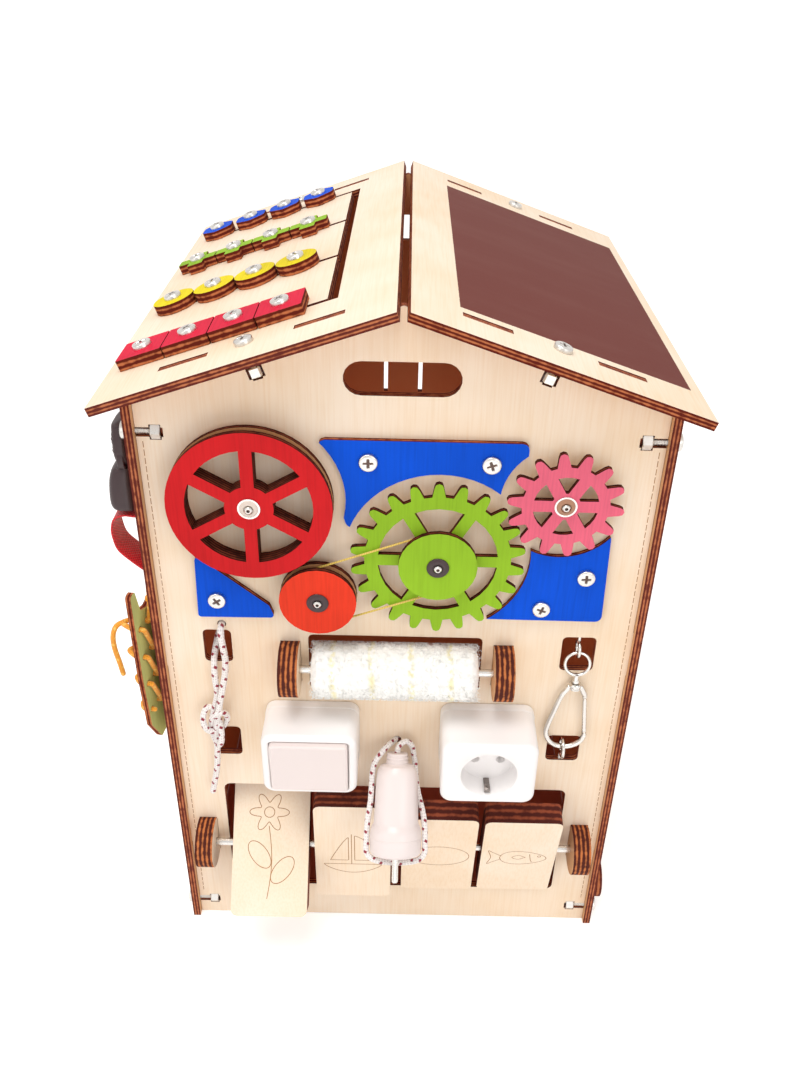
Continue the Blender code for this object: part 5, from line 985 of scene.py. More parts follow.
class HOUSE_OT_roller(HouseOperator, bpy.types.Operator):
    """Makes the fleece roller with its tufts and loose fibres, and the steel rods"""

    bl_idname = "house.roller"
    bl_label = "Fleece roller"

    def make(self, sizes, colours):
        steel = zinc_plated_steel("bright_drawn_rod", 0.2)
        finish_node("roller_axle", steel)
        finish_node("block_axle", steel)
        fleece = knitted_fleece("knitted_roller_pile", colours.fleece)
        random = np.random.default_rng(11)
        low, high, core = -0.0620, 0.0590, 0.0180
        origin = house((0, -0.00375, 0.287))
        self.pile(fleece, random, low, high, core, origin, sizes)
        self.fibres(fleece, random, low, high, core, origin, sizes)

    def pile(self, fleece, random, low, high, core, origin, sizes):
        """A sleeve of tufts: its height falls off as a circle with the distance to the nearest of a jittered
        lattice's points, whose cells are one tuft wide, and its ends are rounded in."""
        rows, columns = 150, 190
        sunk, tuft_height, lump_height, end_round = 0.0004, 0.0024, 0.0004, 0.0075
        along = np.linspace(low, high, rows)
        angle = np.linspace(0, tau, columns + 1)
        cells = (int((high - low) / sizes.tuft), int(tau * core / sizes.tuft))
        u = (along - low) / (high - low) * cells[0]
        v = angle / tau * cells[1]
        jitter = random.uniform(0.15, 0.85, (cells[0] + 3, cells[1], 2))
        nearest = np.full((rows, columns + 1), 9.0)
        for du in (-1, 0, 1):
            for dv in (-1, 0, 1):
                iu = np.clip(np.floor(u).astype(int) + du, -1, cells[0] + 1)
                iv = np.floor(v).astype(int) + dv
                spot = jitter[(iu + 1)[:, None], np.mod(iv, cells[1])[None, :]]
                gap_u = iu[:, None] + spot[..., 0] - u[:, None]
                gap_v = iv[None, :] + spot[..., 1] - v[None, :]
                nearest = np.minimum(nearest, np.hypot(gap_u, gap_v))
        height = np.sqrt(np.clip(1 - (nearest / 0.95) ** 2, 0, 1))
        # Two waves along and round the sleeve, as the knitted pile is uneven
        lumps = np.sin(along * tau / 0.017 + 1.4)[:, None] * np.sin(3 * angle + 0.6)[None, :]
        lumps = lumps + np.sin(along * tau / 0.0094)[:, None] * np.cos(5 * angle)[None, :]
        ends = np.minimum(along - low, high - along)[:, None]
        round_off = np.sqrt(np.clip(1 - (1 - np.clip(ends / end_round, 0, 1)) ** 2, 0, 1))
        radius = (core - sunk + tuft_height * height + lump_height * lumps) * (0.4 + 0.6 * round_off)
        radius[:, -1] = radius[:, 0]
        x = np.broadcast_to(along[:, None], radius.shape)
        pile = np.stack([x, radius * np.cos(angle), radius * np.sin(angle)], axis=-1)
        pile = origin + capped(pile, (low, 0, 0), (high, 0, 0))
        # Painted shade: the hollow values grey the pile between the tufts and at its capped ends
        dark = np.ones((1, columns + 1))
        shade = np.concatenate([dark, 0.8 * (1 - height), dark])
        make_piece("roller_pile", [pile], fleece, "roller", hollow=[shade], sharp=180, replaces=["roller_sleeve"])

    def fibres(self, fleece, random, low, high, core, origin, sizes):
        """Loose fibres: each is a bent line that starts in the pile and curls back, carried by a three-sided
        profile that thins out towards its tip."""
        count = sizes.fibres
        start_x = random.uniform(low + 0.0005, high - 0.0005, count)
        start_a = random.uniform(0, tau, count)
        t = np.linspace(0, 1, 6)
        curl = random.uniform(-1, 1, (count, 3))
        lift = core + 0.0006 + sizes.pile * np.sin(t * pi * random.uniform(0.55, 0.95, (count, 1))) * 0.62
        spread_x = start_x[:, None] + curl[:, :1] * sizes.pile * 0.75 * t + 0.0006 * np.sin(t * tau + curl[:, 2:] * 3)
        spread_a = start_a[:, None] + curl[:, 1:2] * sizes.pile * 0.7 * t / core
        centre = np.stack([spread_x, lift * np.cos(spread_a), lift * np.sin(spread_a)], axis=-1)
        around = np.linspace(0, tau, 4)[:, None]
        thin = 0.00019 * np.sqrt(1 - t**4 * 0.999)[None, :, None, None]
        out = np.stack([0 * lift, np.cos(spread_a), np.sin(spread_a)], axis=-1)[:, :, None]
        section = np.cos(around) * out + np.sin(around) * np.array([1.0, 0, 0])
        fibres = centre[:, :, None] + thin * section
        shade = [np.zeros(fibres.shape[:3])]
        make_piece("roller_fibres", [origin + fibres], fleece, "roller", hollow=shade, sharp=180)


class HOUSE_OT_blocks(HouseOperator, bpy.types.Operator):
    """Finishes the four turning blocks, and draws an engraved picture on each"""

    bl_idname = "house.blocks"
    bl_label = "Picture blocks"

    def make(self, sizes, colours):
        line = burnt_line("laser_engraved_line")
        edges = (linear("#4A170F"), linear("#94492F"))
        block_face, layer, ridge, lift, sunk, millimetre = 0.009, 0.003, 0.00009, 0.00002, 0.0001, 0.001
        half = sizes.engraving / 2
        groove = np.array(
            [(-half, 0), (-half * 0.6, ridge), (half * 0.6, ridge), (half, 0), (0, -sunk), (-half, 0)]
        )
        blocks = (
            (-0.1310, -0.0690, 38.0, self.flower),
            (-0.0640, -0.0020, -3.0, self.boat),
            (0.0070, 0.0670, -12.0, self.oval),
            (0.0720, 0.1330, -13.0, self.fish),
        )
        for number, (left, right, tilt, picture) in enumerate(blocks, 1):
            lean = radians(tilt)
            out, up = (0, -cos(lean), sin(lean)), (0, sin(lean), cos(lean))
            origin = house(((left + right) / 2, -0.00375, 0.101))
            outer = float(np.array(out) @ origin) + block_face
            birch = laser_cut_birch(f"birch_block_{number}", out, outer, layer, edges=edges)
            finish_node(f"picture_block_{number}", birch)
            grids = []
            for stroke in picture():
                flat = evenly(np.asarray(stroke, float) * millimetre, 0.0007)
                path = np.column_stack([flat, np.full(len(flat), block_face + lift)])
                across = (path[1] - path[0])[[1, 0, 2]] * (1, -1, 1)
                grid, _ = carried(groove, path, side=across)
                grids.append(placed(capped(grid, path[0], path[-1]), origin, out, up))
            make_piece(f"engraving_{number}", grids, line, f"block_{number}", sharp=60)

    def flower(self):
        """A flower: petals are a circle whose radius swells six times, over a curved stem with two leaves."""
        t = np.linspace(0, tau, 160)
        reach = 12 + 4.2 * np.cos(6 * t)
        head = np.stack([reach * np.cos(t) - 2, reach * np.sin(t) + 26], axis=1)
        heart = np.stack([4.2 * np.cos(t) - 2, 4.2 * np.sin(t) + 26], axis=1)
        s = np.linspace(0, 1, 40)
        stem = np.stack([-2 + 3 * np.sin(s * pi), 15 - 58 * s], axis=1)
        leaves = []
        for side in (-1, 1):
            leaf = np.stack([side * 19 * np.sin(t / 2) ** 2, 9 * np.sin(t) + 12 * np.sin(t / 2) ** 2], axis=1)
            leaves.append(leaf + np.array([0.5, -20 - 6 * side]))
        return [head, heart, stem, *leaves]

    def boat(self):
        """A sailing boat: a curved hull, a mast and two bellied sails."""
        s = np.linspace(0, 1, 40)
        hull = np.stack([-24 + 48 * s, -14 - 11 * np.sin(pi * s) ** 0.7], axis=1)
        deck = np.array([(-24, -14), (24, -14)])
        mast = np.array([(-1, -14), (-1, 24)])
        main = np.stack([1.5 + 19 * np.sin(s * pi / 2), 22 - 31 * s**1.4], axis=1)
        boom = np.array([(1.5, 22), (1.5, -9), (20.5, -9)])
        jib = np.stack([-3.5 - 15 * s**0.8, 20 - 29 * s], axis=1)
        foot = np.array([(-18.5, -9), (-3.5, -9), (-3.5, 20)])
        return [hull, deck, mast, main, boom, jib, foot]

    def oval(self):
        """A plain oval, 54 mm wide."""
        t = np.linspace(0, tau, 120)
        return [np.stack([27 * np.cos(t) * 0.93, 15 * np.sin(t)], axis=1)]

    def fish(self):
        """A fish: a pointed oval body that narrows into a forked tail, with a gill, a fin and an eye."""
        t = np.linspace(0, tau, 120)
        body = np.stack([4 + 19 * np.cos(t), 10.5 * np.sin(t) * (1 - 0.25 * np.cos(t))], axis=1)
        tail = smooth_route([(-14, 2.5), (-21, 8), (-25, 11), (-22.5, 0), (-25, -11), (-21, -8), (-14, -2.5)], 8)
        gill = np.stack([12 - 3 * np.cos(t[:61] / 2), 6.5 * np.cos(t[:61])], axis=1)
        fin = smooth_route([(6, 1), (0, 4), (-5, 0.5), (0, -2.5), (6, 1)], 8)
        eye = np.stack([17 + 1.3 * np.cos(t), 3 + 1.3 * np.sin(t)], axis=1)
        return [body, tail, gill, fin, eye]


class HOUSE_OT_switch(HouseOperator, bpy.types.Operator):
    """Makes the light switch: a deep rounded box with a wide rocker"""

    bl_idname = "house.switch"
    bl_label = "Switch"

    def make(self, sizes, colours):
        white = moulded_plastic("glossy_white_abs", colours.white, 0.3)
        origin = house((-0.063, PANEL_FACE, 0.2205))
        half_width, half_height, top, corner = 0.035, 0.0285, 0.0402, 0.0085
        mouth_width, mouth_height, lip, mouth_depth, centre = 0.0291, 0.0236, 0.0008, 0.0060, 0.0001
        widths, heights, rounds, levels = box_sides(half_width, half_height, top, corner)
        for sides, mouth in ((widths, mouth_width), (heights, mouth_height)):
            sides.extend([mouth + lip, mouth, mouth, centre])
        rounds += [0.0024, 0.0022, 0.0022, centre / 2]
        levels += [top, top - lip, top - mouth_depth, top - mouth_depth]
        shell = lofted(rounded_ring(widths, heights, rounds), levels)
        body = placed(np.concatenate([on_axis(shell[:1]), shell, on_axis(shell[-1:])]), origin, FRONT)
        grids = [body, base_rim(half_width, half_height, corner, origin)]
        make_piece("switch_cover", grids, white, "house", sharp=35, replaces=["switch_box"])
        self.rocker(moulded_plastic("satin_white_abs", colours.warm_white, 0.38))

    def rocker(self, warm):
        """A pillow that is hollowed a little across its middle, as finger rockers are."""
        lean = radians(3.0)
        out, up = (0, -cos(lean), -sin(lean)), (0, -sin(lean), cos(lean))
        pivot = house((-0.063, PANEL_FACE - 0.0393, 0.2205))
        half_width, half_height, corner, thick, edge, dip = 0.0285, 0.023, 0.0026, 0.004, 0.0016, 0.0006
        bend = np.linspace(0, pi / 2, 6)
        fall = edge * (1 - np.cos(bend))
        widths = np.concatenate([[half_width], half_width - fall, np.linspace(0.026, 0.001, 9)])
        heights = np.concatenate([[half_height], half_height - fall, np.linspace(0.0205, 0.001, 9)])
        rounds = np.concatenate([[corner], corner - 0.5 * fall, np.linspace(0.0016, 0.0004, 9)])
        levels = np.concatenate([[-thick], thick - edge + edge * np.sin(bend), np.full(9, thick)])
        pad = lofted(rounded_ring(widths, heights, rounds), levels)
        face = pad[7:]
        face[..., 2] -= dip * (1 - (face[..., 0] / half_width) ** 2) * (1 - (face[..., 1] / half_height) ** 2)
        pad = placed(np.concatenate([on_axis(pad[:1]), pad, on_axis(pad[-1:])]), pivot, out, up)
        make_piece("rocker_pad", [pad], warm, "rocker", sharp=35, replaces=["switch_rocker"])


class HOUSE_OT_socket(HouseOperator, bpy.types.Operator):
    """Makes the socket: a deep rounded box with a round recess, pin holes and earth contacts"""

    bl_idname = "house.socket"
    bl_label = "Socket"

    def make(self, sizes, colours):
        white = moulded_plastic("glossy_white_abs_socket", colours.white, 0.3)
        origin = house((0.069, PANEL_FACE, 0.221))
        half_width, half_height, top, corner = 0.035, 0.029, 0.0462, 0.0085
        well_depth, well_radius = 0.0170, 0.0195
        widths, heights, rounds, levels = box_sides(half_width, half_height, top, corner)
        box = even_rings(rounded_ring(widths, heights, rounds, 12), 145)
        angle = np.arctan2(box[-1, :, 1], box[-1, :, 0])
        circle = np.stack([np.cos(angle), np.sin(angle)], axis=-1)
        radii = [0.0214, 0.0208, 0.0205, 0.0203, 0.0201, well_radius]
        well = [top, top - 0.0003, top - 0.0012, top - 0.009, top - 0.0160, top - well_depth]
        rings = np.array([radius * circle for radius in radii])
        shell = np.concatenate([lofted(box, levels), lofted(rings, well)])
        shell = np.concatenate([on_axis(shell[:1]), shell])
        # Floor of the recess: a polar grid that drops 8 mm inside two pin holes
        hole_radius, hole_depth, soft = 0.0031, 0.008, 0.0005
        floor_radii = np.linspace(well_radius, 0, 34)
        turn = np.linspace(0, tau, 121)
        x, y = floor_radii[:, None] * np.cos(turn), floor_radii[:, None] * np.sin(turn)
        holes = np.zeros_like(x)
        for side in (-1, 1):
            far = np.hypot(x - side * PIN_REACH, y)
            holes = np.maximum(holes, np.clip((hole_radius - far) / soft, 0, 1))
        floor = np.stack([x, y, top - well_depth - hole_depth * holes], axis=-1)
        grids = [placed(shell, origin, FRONT), placed(floor, origin, FRONT)]
        make_piece("socket_cover", grids, white, "house", sharp=35, replaces=["socket_box"])
        rim = base_rim(half_width, half_height, corner, origin)
        make_piece("socket_base_rim", [rim], white, "house")
        # Earth contacts: a folded strip along the recess wall, above and below
        brass = zinc_plated_steel("nickelled_brass_contact", 0.3)
        strip = rounded_ring([0.0022], [0.0005], [0.0004], 3)[0]
        contacts = []
        for side in (-1, 1):
            fold = ((0.0196, 0.0168), (0.0188, 0.011), (0.0172, 0.007), (0.0180, 0.0042), (0.0196, 0.0026))
            bend = [(0, side * reach, top - depth) for reach, depth in fold]
            grid, _ = carried(strip, evenly(smooth_route(bend), 0.0006), side=(1, 0, 0))
            contacts.append(placed(capped(grid), origin, FRONT))
        # The contacts are drawn dark all over with the hollow attribute: painted shade, as they sit deep in the recess
        shades = [np.full(grid.shape[:2], 0.75) for grid in contacts]
        make_piece("earth_contacts", contacts, brass, "house", hollow=shades)


class HOUSE_OT_plug(HouseOperator, bpy.types.Operator):
    """Makes the plug: a waisted body on a wider base, with a grooved neck and two pins"""

    bl_idname = "house.plug"
    bl_label = "Plug"

    def make(self, sizes, colours):
        white = moulded_plastic("glossy_white_plug", colours.warm_white, 0.32)
        tilt, length = radians(35.0), 0.0763
        axis = np.array([0, sin(tilt), cos(tilt)])
        side = (0, cos(tilt), -sin(tilt))
        up = np.cross(axis, side)
        base = house((0.0018, PANEL_FACE - 0.0140, 0.2108)) - length * axis
        outline = [
            (0.0, 0.0), (0.0165, 0.0), (0.0182, 0.0006), (0.0192, 0.0020), (0.0195, 0.0045), (0.0195, 0.0150),
            (0.0193, 0.0180), (0.0186, 0.0205), (0.0177, 0.0222), (0.0172, 0.0232), (0.0169, 0.0245), (0.0167, 0.0300),
            (0.0163, 0.0400), (0.0160, 0.0480), (0.0155, 0.0530), (0.0144, 0.0565), (0.0126, 0.0585), (0.0104, 0.0592),
        ]
        neck = [
            (0.0092, 0.0594), (0.0082, 0.0602), (0.0085, 0.0612), (0.0085, 0.0622), (0.0078, 0.0626), (0.0078, 0.0634),
            (0.0084, 0.0638), (0.0084, 0.0648), (0.0076, 0.0652), (0.0076, 0.0660), (0.0080, 0.0664), (0.0078, 0.0676),
            (0.0070, 0.0680), (0.0030, 0.0680), (0.0024, 0.0676), (0.0024, 0.0632), (0.0, 0.0632),
        ]
        # The waist is stretched from the shoulder of the base to the neck, so that the plug reaches its full length
        shape = np.array(outline + neck)
        shape[:, 1] = np.interp(shape[:, 1], (0, 0.0232, 0.0592, 0.0680), (0, 0.0232, 0.0675, length))
        # The waist is flattened on two sides: 1 less a twentieth of the fourth power of the angle's cosine
        grip = np.clip((shape[:, 1] - 0.022) / 0.006, 0, 1) * np.clip((0.068 - shape[:, 1]) / 0.004, 0, 1)
        body = turned(shape, 96)
        flats = 1 - 0.05 * grip[:, None] * np.cos(np.linspace(0, tau, 97)) ** 4
        body[..., :2] *= flats[..., None]
        cap_line = [(0.01953, 0.0126), (0.0197, 0.0128), (0.0197, 0.0134), (0.01953, 0.0136), (0.01953, 0.0126)]
        grids = [placed(grid, base, axis, up) for grid in (body, turned(cap_line, 96))]
        make_piece("plug_body", grids, white, "house", sharp=38, replaces=["plug"])
        steel = zinc_plated_steel("nickelled_brass_pin", 0.2)
        pin = [(0, 0.001), (0.0024, 0.001), (0.0024, -0.0170), (0.0022, -0.0182), (0.0016, -0.0188), (0, -0.0190)]
        sleeve = [(0, 0.001), (0.0034, 0.001), (0.0034, -0.0006), (0.0030, -0.0010), (0, -0.0010)]
        for name, profile, material, slot in (
            ("plug_pins", pin, steel, "zinc_plated_steel"),
            ("plug_pin_collars", sleeve, white, "white_plastic"),
        ):
            spots = [base + way * PIN_REACH * np.array(side) for way in (-1, 1)]
            grids = [placed(turned(profile, 28), spot, axis, up) for spot in spots]
            make_piece(name, grids, material, "house")


class HOUSE_OT_hook(HouseOperator, bpy.types.Operator):
    """Makes the snap hook with its gate and swivel, and the two screw eyes"""

    bl_idname = "house.hook"
    bl_label = "Snap hook and eyes"

    def make(self, sizes, colours):
        steel = zinc_plated_steel("nickel_plated_hook", 0.16)
        x, y = 0.1315, PANEL_FACE - 0.0052
        wire, gate_wire, step = 0.0021, 0.0018, 0.0008
        lean = radians(1.5)
        origin = house((x, y, 0.27375))
        up = np.array([0, -sin(lean), cos(lean)])

        def hang(route):
            flat = smooth_route(route)
            return evenly(origin + np.outer(flat[:, 0], (1, 0, 0)) + np.outer(flat[:, 1], up), step)

        bow = [
            (-0.0044, -0.0012), (-0.0056, -0.0038), (-0.0078, -0.0075), (-0.0100, -0.0135), (-0.0130, -0.0260),
            (-0.0160, -0.0390), (-0.0168, -0.0480), (-0.0140, -0.0560), (-0.0085, -0.0610), (-0.0015, -0.0625),
            (0.0055, -0.0605), (0.0105, -0.0560), (0.0125, -0.0500),
        ]
        body, _ = tube(hang(bow), wire, 20)
        shoulder, _ = tube(hang([(0.0044, -0.0012), (0.0060, -0.0042), (0.0080, -0.0085)]), wire, 20)
        collar = [
            (0, -0.0001), (0.0038, -0.0001), (0.0046, 0.0008), (0.0046, 0.0016), (0.0041, 0.0021), (0.0041, 0.0031),
            (0.0046, 0.0036), (0.0046, 0.0045), (0.0038, 0.0055), (0.0019, 0.0055), (0.0019, 0.0052), (0, 0.0052),
        ]
        ring = placed(turned(collar, 36), house((x, y, 0.2710)), UP, (0, 1, 0))
        make_piece("hook_wire", [body, shoulder, ring], steel, "hook", replaces=["hook_body"])
        top, bottom = np.array((0.0083, -0.0098)), np.array((0.0124, -0.0494))
        gate, _ = tube(hang([top, bottom]), gate_wire, 18)
        rivet = [(0, -0.0027), (0.0009, -0.0026), (0.0012, -0.0022), (0.0012, 0.0022), (0.0009, 0.0026), (0, 0.0027)]
        pins = []
        for share in (0.06, 0.93):
            right, rise = top + share * (bottom - top)
            pins.append(placed(turned(rivet, 20), origin + right * np.array([1, 0, 0]) + rise * up, FRONT))
        make_piece("hook_gate_wire", [gate, *pins], steel, "gate", replaces=["hook_gate"])
        self.swivel(steel, x, y)
        self.lower_eye(steel)

    def circle(self, centre, radius, first, second):
        """A circle: the centre + radius times cosine and sine of the angle along two vectors."""
        t = np.linspace(0, tau, 73)[:, None]
        return np.asarray(centre) + radius * (np.cos(t) * np.asarray(first) + np.sin(t) * np.asarray(second))

    def swivel(self, steel, x, y):
        """The ring through the upper eye, its turned stem, and the plating of the eye's wire, which is one with the
        panel in the solids."""
        lean, ring_radius, height = radians(14.0), 0.009, 0.2926
        centre = house((x, y + ring_radius * sin(lean), height))
        upward = (0, sin(lean), cos(lean))
        ring, _ = tube(self.circle(centre, ring_radius, (1, 0, 0), upward), 0.0012, 16, looped=True)
        neck = height - ring_radius * cos(lean) + 0.0006
        stem = [
            (0, 0.26950), (0.0018, 0.26955), (0.0023, 0.2701), (0.0023, 0.2706), (0.0017, 0.2708), (0.0017, 0.2768),
            (0.0022, 0.2769), (0.0027, 0.2774), (0.0027, 0.2786), (0.0023, 0.2796), (0.0018, 0.2806), (0.0017, neck),
            (0, neck + 0.0004),
        ]
        post = placed(turned(stem, 28), house((x, y, 0)), UP, (0, 1, 0))
        make_piece("swivel_ring", [ring, post], steel, "house", replaces=["hook_swivel"])
        eye, plated = house((x, 0.00705, 0.303)), 0.00128
        loop, _ = tube(self.circle(eye, 0.006, (0, 1, 0), UP), plated, 18, looped=True)
        shank, _ = tube(evenly(house([(x, 0.00765, 0.3088), (x, 0.00765, 0.3150)]), 0.0005), plated, 18)
        make_piece("upper_eye_plating", [loop, shank], steel, "house")

    def lower_eye(self, steel):
        """A wire ring on a shank, whose radius is a sine wave with one turn a millimetre up to its plain part."""
        wire, groove, pitch, plain_from = 0.0013, 0.00018, 0.0010, 0.1975
        centre = house((0.129, 0.00325, 0.2085))
        loop, _ = tube(self.circle(centre, 0.0075, (0, 1, 0), UP), wire, 16, looped=True)
        height = np.linspace(0.1870, 0.2010, 141)
        radius = wire - groove * (1 + np.cos(tau * height / pitch)) * (height < plain_from)
        screw = turned([(0, height[0]), *zip(radius, height), (0, height[-1])], 20)
        shank = placed(screw, house((0.129, 0.00825, 0)), UP, (0, 1, 0))
        make_piece("lower_eye", [loop, shank], steel, "house", sharp=30, replaces=["lower_screw_eye"])


class HOUSE_OT_strap(HouseOperator, bpy.types.Operator):
    """Makes the red webbing strap on the left wall and its side-release buckle"""

    bl_idname = "house.strap"
    bl_label = "Strap and buckle"

    def make(self, sizes, colours):
        webbing = woven_webbing("red_polypropylene_webbing", colours.webbing)
        # Both routes as X and height: the strap on the wall with its ends in the slots, and the loop below the buckle
        strap = (
            (-0.1660, 0.4807), (-0.1720, 0.4808), (-0.1752, 0.4804), (-0.1769, 0.4782), (-0.1765, 0.4730),
            (-0.1764, 0.4400), (-0.1764, 0.4000), (-0.1766, 0.3680), (-0.1770, 0.3600), (-0.1755, 0.3567),
            (-0.1720, 0.3562), (-0.1660, 0.3562),
        )
        loop = (
            (-0.1765, 0.4120), (-0.1765, 0.4075), (-0.1785, 0.4035), (-0.1870, 0.4040), (-0.1938, 0.4008),
            (-0.1965, 0.3930), (-0.1963, 0.3850), (-0.1940, 0.3760), (-0.1870, 0.3680), (-0.1800, 0.3615),
            (-0.1768, 0.3590),
        )
        ring = rounded_ring([0.01225], [0.00068], [0.00055], 3)[0]
        around = np.concatenate([[0], np.cumsum(np.linalg.norm(np.diff(ring, axis=0), axis=1))])
        grids, uvs = [], []
        for route in (strap, loop):
            flat = evenly(smooth_route(route), CORD_STEP)
            path = house(np.column_stack([flat[:, 0], np.full(len(flat), STRAP_MIDDLE_Y), flat[:, 1]]))
            grid, uv = carried(ring, path, side=(0, 1, 0))
            uv = np.stack([np.broadcast_to(around, uv.shape[:2]), uv[..., 1]], axis=-1)
            grids.append(capped(grid))
            uvs.append(np.concatenate([uv[:1], uv, uv[-1:]]))
        make_piece("webbing_strap", grids, webbing, "house", uvs, sharp=50, replaces=["strap"])
        self.buckle(moulded_plastic("dark_acetal_buckle", colours.dark, 0.42))

    def buckle(self, dark):
        """Both halves are lofts of superellipses: half width and outer face are curves of the height, and ribs for
        the thumb are the positive half of a cosine. Bent bars, the male half's prongs, fill the side mouths."""
        halves = (
            (
                (0.4077, 0.0120, -0.1905), (0.4098, 0.0140, -0.1945), (0.4165, 0.0145, -0.1955),
                (0.4290, 0.0143, -0.1943), (0.4370, 0.0136, -0.1920), (0.4400, 0.0126, -0.1895),
            ),
            (
                (0.4392, 0.0092, -0.1862), (0.4420, 0.0100, -0.1868), (0.4460, 0.0128, -0.1877),
                (0.4510, 0.0143, -0.1881), (0.4590, 0.0140, -0.1880), (0.4660, 0.0132, -0.1877),
                (0.4705, 0.0126, -0.1872), (0.4718, 0.0112, -0.1855),
            ),
        )
        inner_face, prong_x, power = -0.1779, -0.1829, 2 / 3.6
        rib_height, rib_pitch, ribs_from, ribs_to, rib_middle = 0.00035, 0.0026, 0.4530, 0.4660, 0.4560
        t = np.linspace(0, tau, 65)
        ring_x, ring_y = (np.sign(wave) * abs(wave) ** power for wave in (np.cos(t), np.sin(t)))
        grids = []
        for half in halves:
            height, width, outer_face = smooth_route(np.array(half), 7).T
            ribs = rib_height * np.clip(np.cos((height - rib_middle) * tau / rib_pitch), 0, 1)
            ribs *= (height > ribs_from) & (height < ribs_to)
            thick, centre = (inner_face - outer_face) / 2 + ribs, (inner_face + outer_face) / 2 - ribs
            across = centre[:, None] + thick[:, None] * ring_y
            shape = np.stack([across, width[:, None] * ring_x, height[:, None] + 0 * ring_x], axis=-1)
            grids.append(house((0, STRAP_MIDDLE_Y, 0)) + capped(shape))
        ring = rounded_ring([0.0014], [0.0022], [0.0007], 4)[0]
        middle = house((prong_x, STRAP_MIDDLE_Y, 0))
        for side in (-1, 1):
            bend = ((0.0100, 0.4390), (0.0125, 0.4425), (0.0136, 0.4470), (0.0128, 0.4520))
            path = evenly(smooth_route([(0, side * reach, height) for reach, height in bend]), 0.0008)
            grids.append(capped(carried(ring, middle + path, side=(0, 1, 0))[0]))
        make_piece("side_release_buckle", grids, dark, "house", sharp=50, replaces=["buckle"])


class HOUSE_OT_stage(HouseOperator, bpy.types.Operator):
    """Sets up the white floor and backdrop, the lamps and the world"""

    bl_idname = "house.stage"
    bl_label = "Stage and light"

    def make(self, sizes, colours):
        self.sweep()
        self.world()
        for name, spot, size, power, aim in (
            ("key_softbox", (1.5, -2.4, 1.3), 1.3, 11.5, (0, 0, 0.28)),
            ("fill_softbox", (-1.9, -1.9, 1.2), 1.5, 6.0, (0, 0, 0.28)),
            ("top_softbox", (-0.4, -0.6, 2.2), 1.1, 22.5, (0, 0, 0.35)),
            ("low_softbox", (0.0, -0.80, 0.10), 0.5, 0.6, (0, -0.17, 0.10)),
        ):
            lamp = add_lamp(name, "AREA", power, (1.0, 0.98, 0.96))
            lamp.data.size = size
            back = np.array(spot) - np.array(aim)
            lamp.matrix_world = Matrix.Translation(spot) @ matrix_along(back / np.linalg.norm(back))
        # Brown light between the walls, as the smoked plywood throws it back through the openings
        lamp = add_lamp("light_between_walls", "POINT", 0.2, (1.0, 0.40, 0.28))
        lamp.data.shadow_soft_size = 0.05
        lamp.location = house((0, 0.20, 0.27))
        bpy.context.scene.view_settings.view_transform = "Standard"

    def sweep(self):
        """Floor and backdrop: a profile of floor, quarter round and wall, carried along X. What is seen of it glows
        white but for the floor inside the house, which is painted brown: painted shade and brown light from the walls
        round it."""
        bend_radius, bend_from, front, top, half_width, sunk = 1.5, 3.0, -6.0, 5.0, 7.0, 0.0002
        bend = np.linspace(0, pi / 2, 12)
        floor_y = np.concatenate([[front], bend_from + bend_radius * np.sin(bend), [bend_from + bend_radius]])
        floor_z = np.concatenate([[0.0], bend_radius * (1 - np.cos(bend)), [top]])
        x = np.array([-half_width, half_width])
        grid = np.stack(np.broadcast_arrays(x[None, :], floor_y[:, None], floor_z[:, None] - sunk), axis=-1)
        count = grid.shape[0]
        mesh = bpy.data.meshes.new("floor_and_backdrop")
        index = np.arange(count * 2).reshape(count, 2)
        quads = np.stack([index[:-1, 0], index[:-1, 1], index[1:, 1], index[1:, 0]], axis=1)
        mesh.from_pydata(grid.reshape(-1, 3).tolist(), [], quads.tolist())
        mesh.polygons.foreach_set("use_smooth", np.ones(len(mesh.polygons), bool))
        white = linear("#F6F4F3")
        material, tree, shader = new_material("white_paper_sweep", white, 0.9)
        # The walls end between these distances from the footprint's middle, and the glow starts outside them
        middle, wall_inside, wall_edge, wall_outside, glow_strength = SHIFT + 0.18, 0.168, 0.17, 0.176, 0.42
        place = add_node(tree, "ShaderNodeTexCoord")["Object"]
        place = add_node(tree, "ShaderNodeSeparateXYZ", {"Vector": place})
        across = math_node(tree, "ABSOLUTE", place["X"])
        back = math_node(tree, "ABSOLUTE", math_node(tree, "SUBTRACT", place["Y"], middle))
        far = math_node(tree, "MAXIMUM", across, back)
        outside = range_node(tree, far, wall_inside, wall_outside, 0.0, glow_strength)
        open_floor = math_node(tree, "GREATER_THAN", far, wall_edge)
        # Painted shade: the floor between the walls is drawn brown
        tree.links.new(mix_node(tree, open_floor, linear("#A86A58"), white), shader.inputs["Base Color"])
        shader.inputs["Emission Color"].default_value = (1, 1, 1, 1)
        glow = math_node(tree, "MULTIPLY", seen_directly(tree), outside)
        tree.links.new(glow, shader.inputs["Emission Strength"])
        mesh.materials.append(material)
        floor = add_object("floor_and_backdrop", mesh)

    def world(self):
        """A white studio: full white where it is seen, and weaker where it only lights."""
        world = bpy.data.worlds.new("white_studio")
        bpy.context.scene.world = world
        world.use_nodes = True
        tree = world.node_tree
        background = tree.nodes["Background"]
        background.inputs["Color"].default_value = (1.0, 0.985, 0.975, 1)
        strength = range_node(tree, seen_directly(tree), 0.0, 1.0, 0.64, 1.0)
        tree.links.new(strength, background.inputs["Strength"])


def seen_directly(tree):
    """One where the camera sees a surface, also in a mirror or through glass, and nought for other light."""
    ray = add_node(tree, "ShaderNodeLightPath")
    seen = math_node(tree, "MAXIMUM", ray["Is Camera Ray"], ray["Is Glossy Ray"])
    return math_node(tree, "MAXIMUM", seen, ray["Is Transmission Ray"])


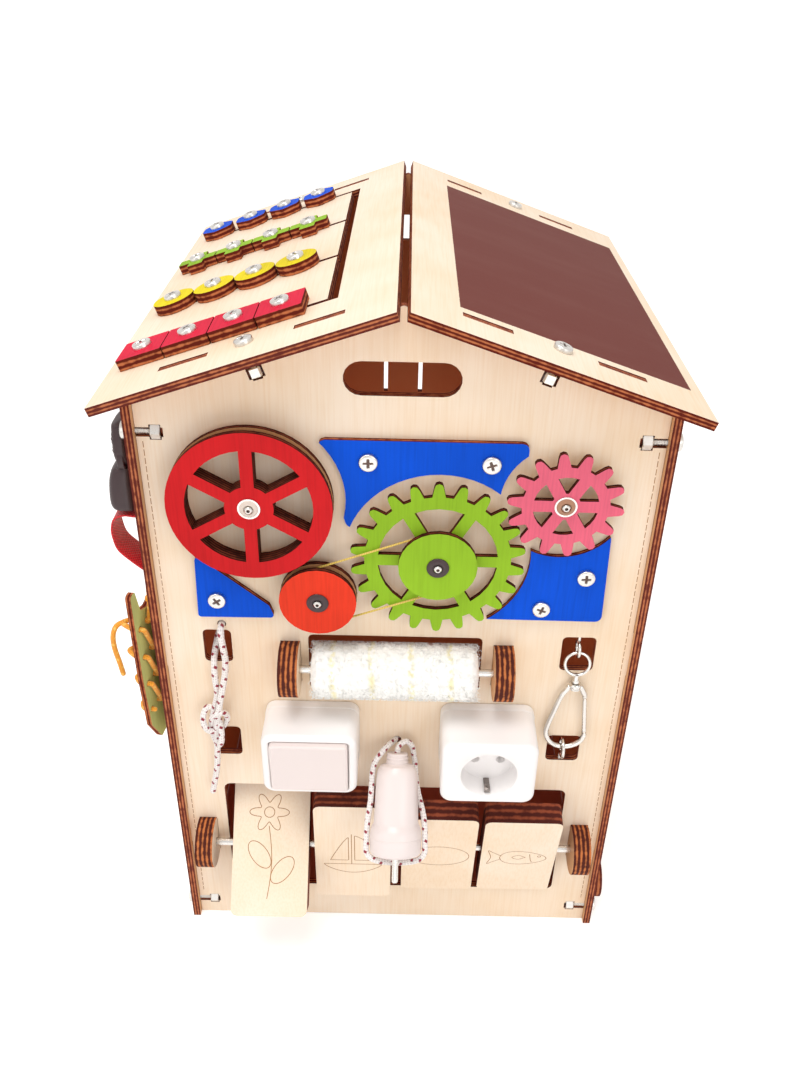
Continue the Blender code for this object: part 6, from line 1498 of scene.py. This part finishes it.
def add_lamp(name, kind, power, colour):
    """Adds a lamp, in watts."""
    data = bpy.data.lights.new(name, kind)
    data.energy = power
    data.color = colour
    return add_object(name, data)


def matrix_along(back):
    """The turn of a lamp whose Z axis points back from what it lights."""
    right = np.cross((0, 0, 1), back)
    right /= np.linalg.norm(right)
    up = np.cross(back, right)
    return Matrix([[right[k], up[k], back[k], 0] for k in range(3)] + [[0, 0, 0, 1]])


OPERATORS = (
    HOUSE_OT_camera,
    HOUSE_OT_cords,
    HOUSE_OT_panels,
    HOUSE_OT_paintwork,
    HOUSE_OT_screws,
    HOUSE_OT_bolts,
    HOUSE_OT_axles,
    HOUSE_OT_roller,
    HOUSE_OT_blocks,
    HOUSE_OT_switch,
    HOUSE_OT_socket,
    HOUSE_OT_plug,
    HOUSE_OT_hook,
    HOUSE_OT_strap,
    HOUSE_OT_stage,
)


class HOUSE_PT_sidebar(bpy.types.Panel):
    """Lists the pieces, and the sizes and colours that they read"""

    bl_idname = "HOUSE_PT_sidebar"
    bl_label = "Activity house"
    bl_space_type = "VIEW_3D"
    bl_region_type = "UI"
    bl_category = "Activity house"

    def draw(self, context):
        for operator in OPERATORS:
            self.layout.operator(operator.bl_idname)
        for group in (context.scene.activity_house_sizes, context.scene.activity_house_colours):
            for name in group.__annotations__:
                self.layout.prop(group, name)


CLASSES = (ActivityHouseColours, ActivityHouseSizes, *OPERATORS, HOUSE_PT_sidebar)


def register():
    """Registers the classes, and keeps the sizes and colours on the scene."""
    for one in CLASSES:
        bpy.utils.register_class(one)
    bpy.types.Scene.activity_house_colours = PointerProperty(type=ActivityHouseColours)
    bpy.types.Scene.activity_house_sizes = PointerProperty(type=ActivityHouseSizes)


def unregister():
    """Takes back what register added."""
    del bpy.types.Scene.activity_house_sizes
    del bpy.types.Scene.activity_house_colours
    for one in reversed(CLASSES):
        bpy.utils.unregister_class(one)


def main():
    """Makes the whole scene in order."""
    register()
    for operator in OPERATORS:
        group, name = operator.bl_idname.split(".")
        getattr(getattr(bpy.ops, group), name)()
    bpy.context.view_layer.update()


if __name__ == "__main__":
    main()
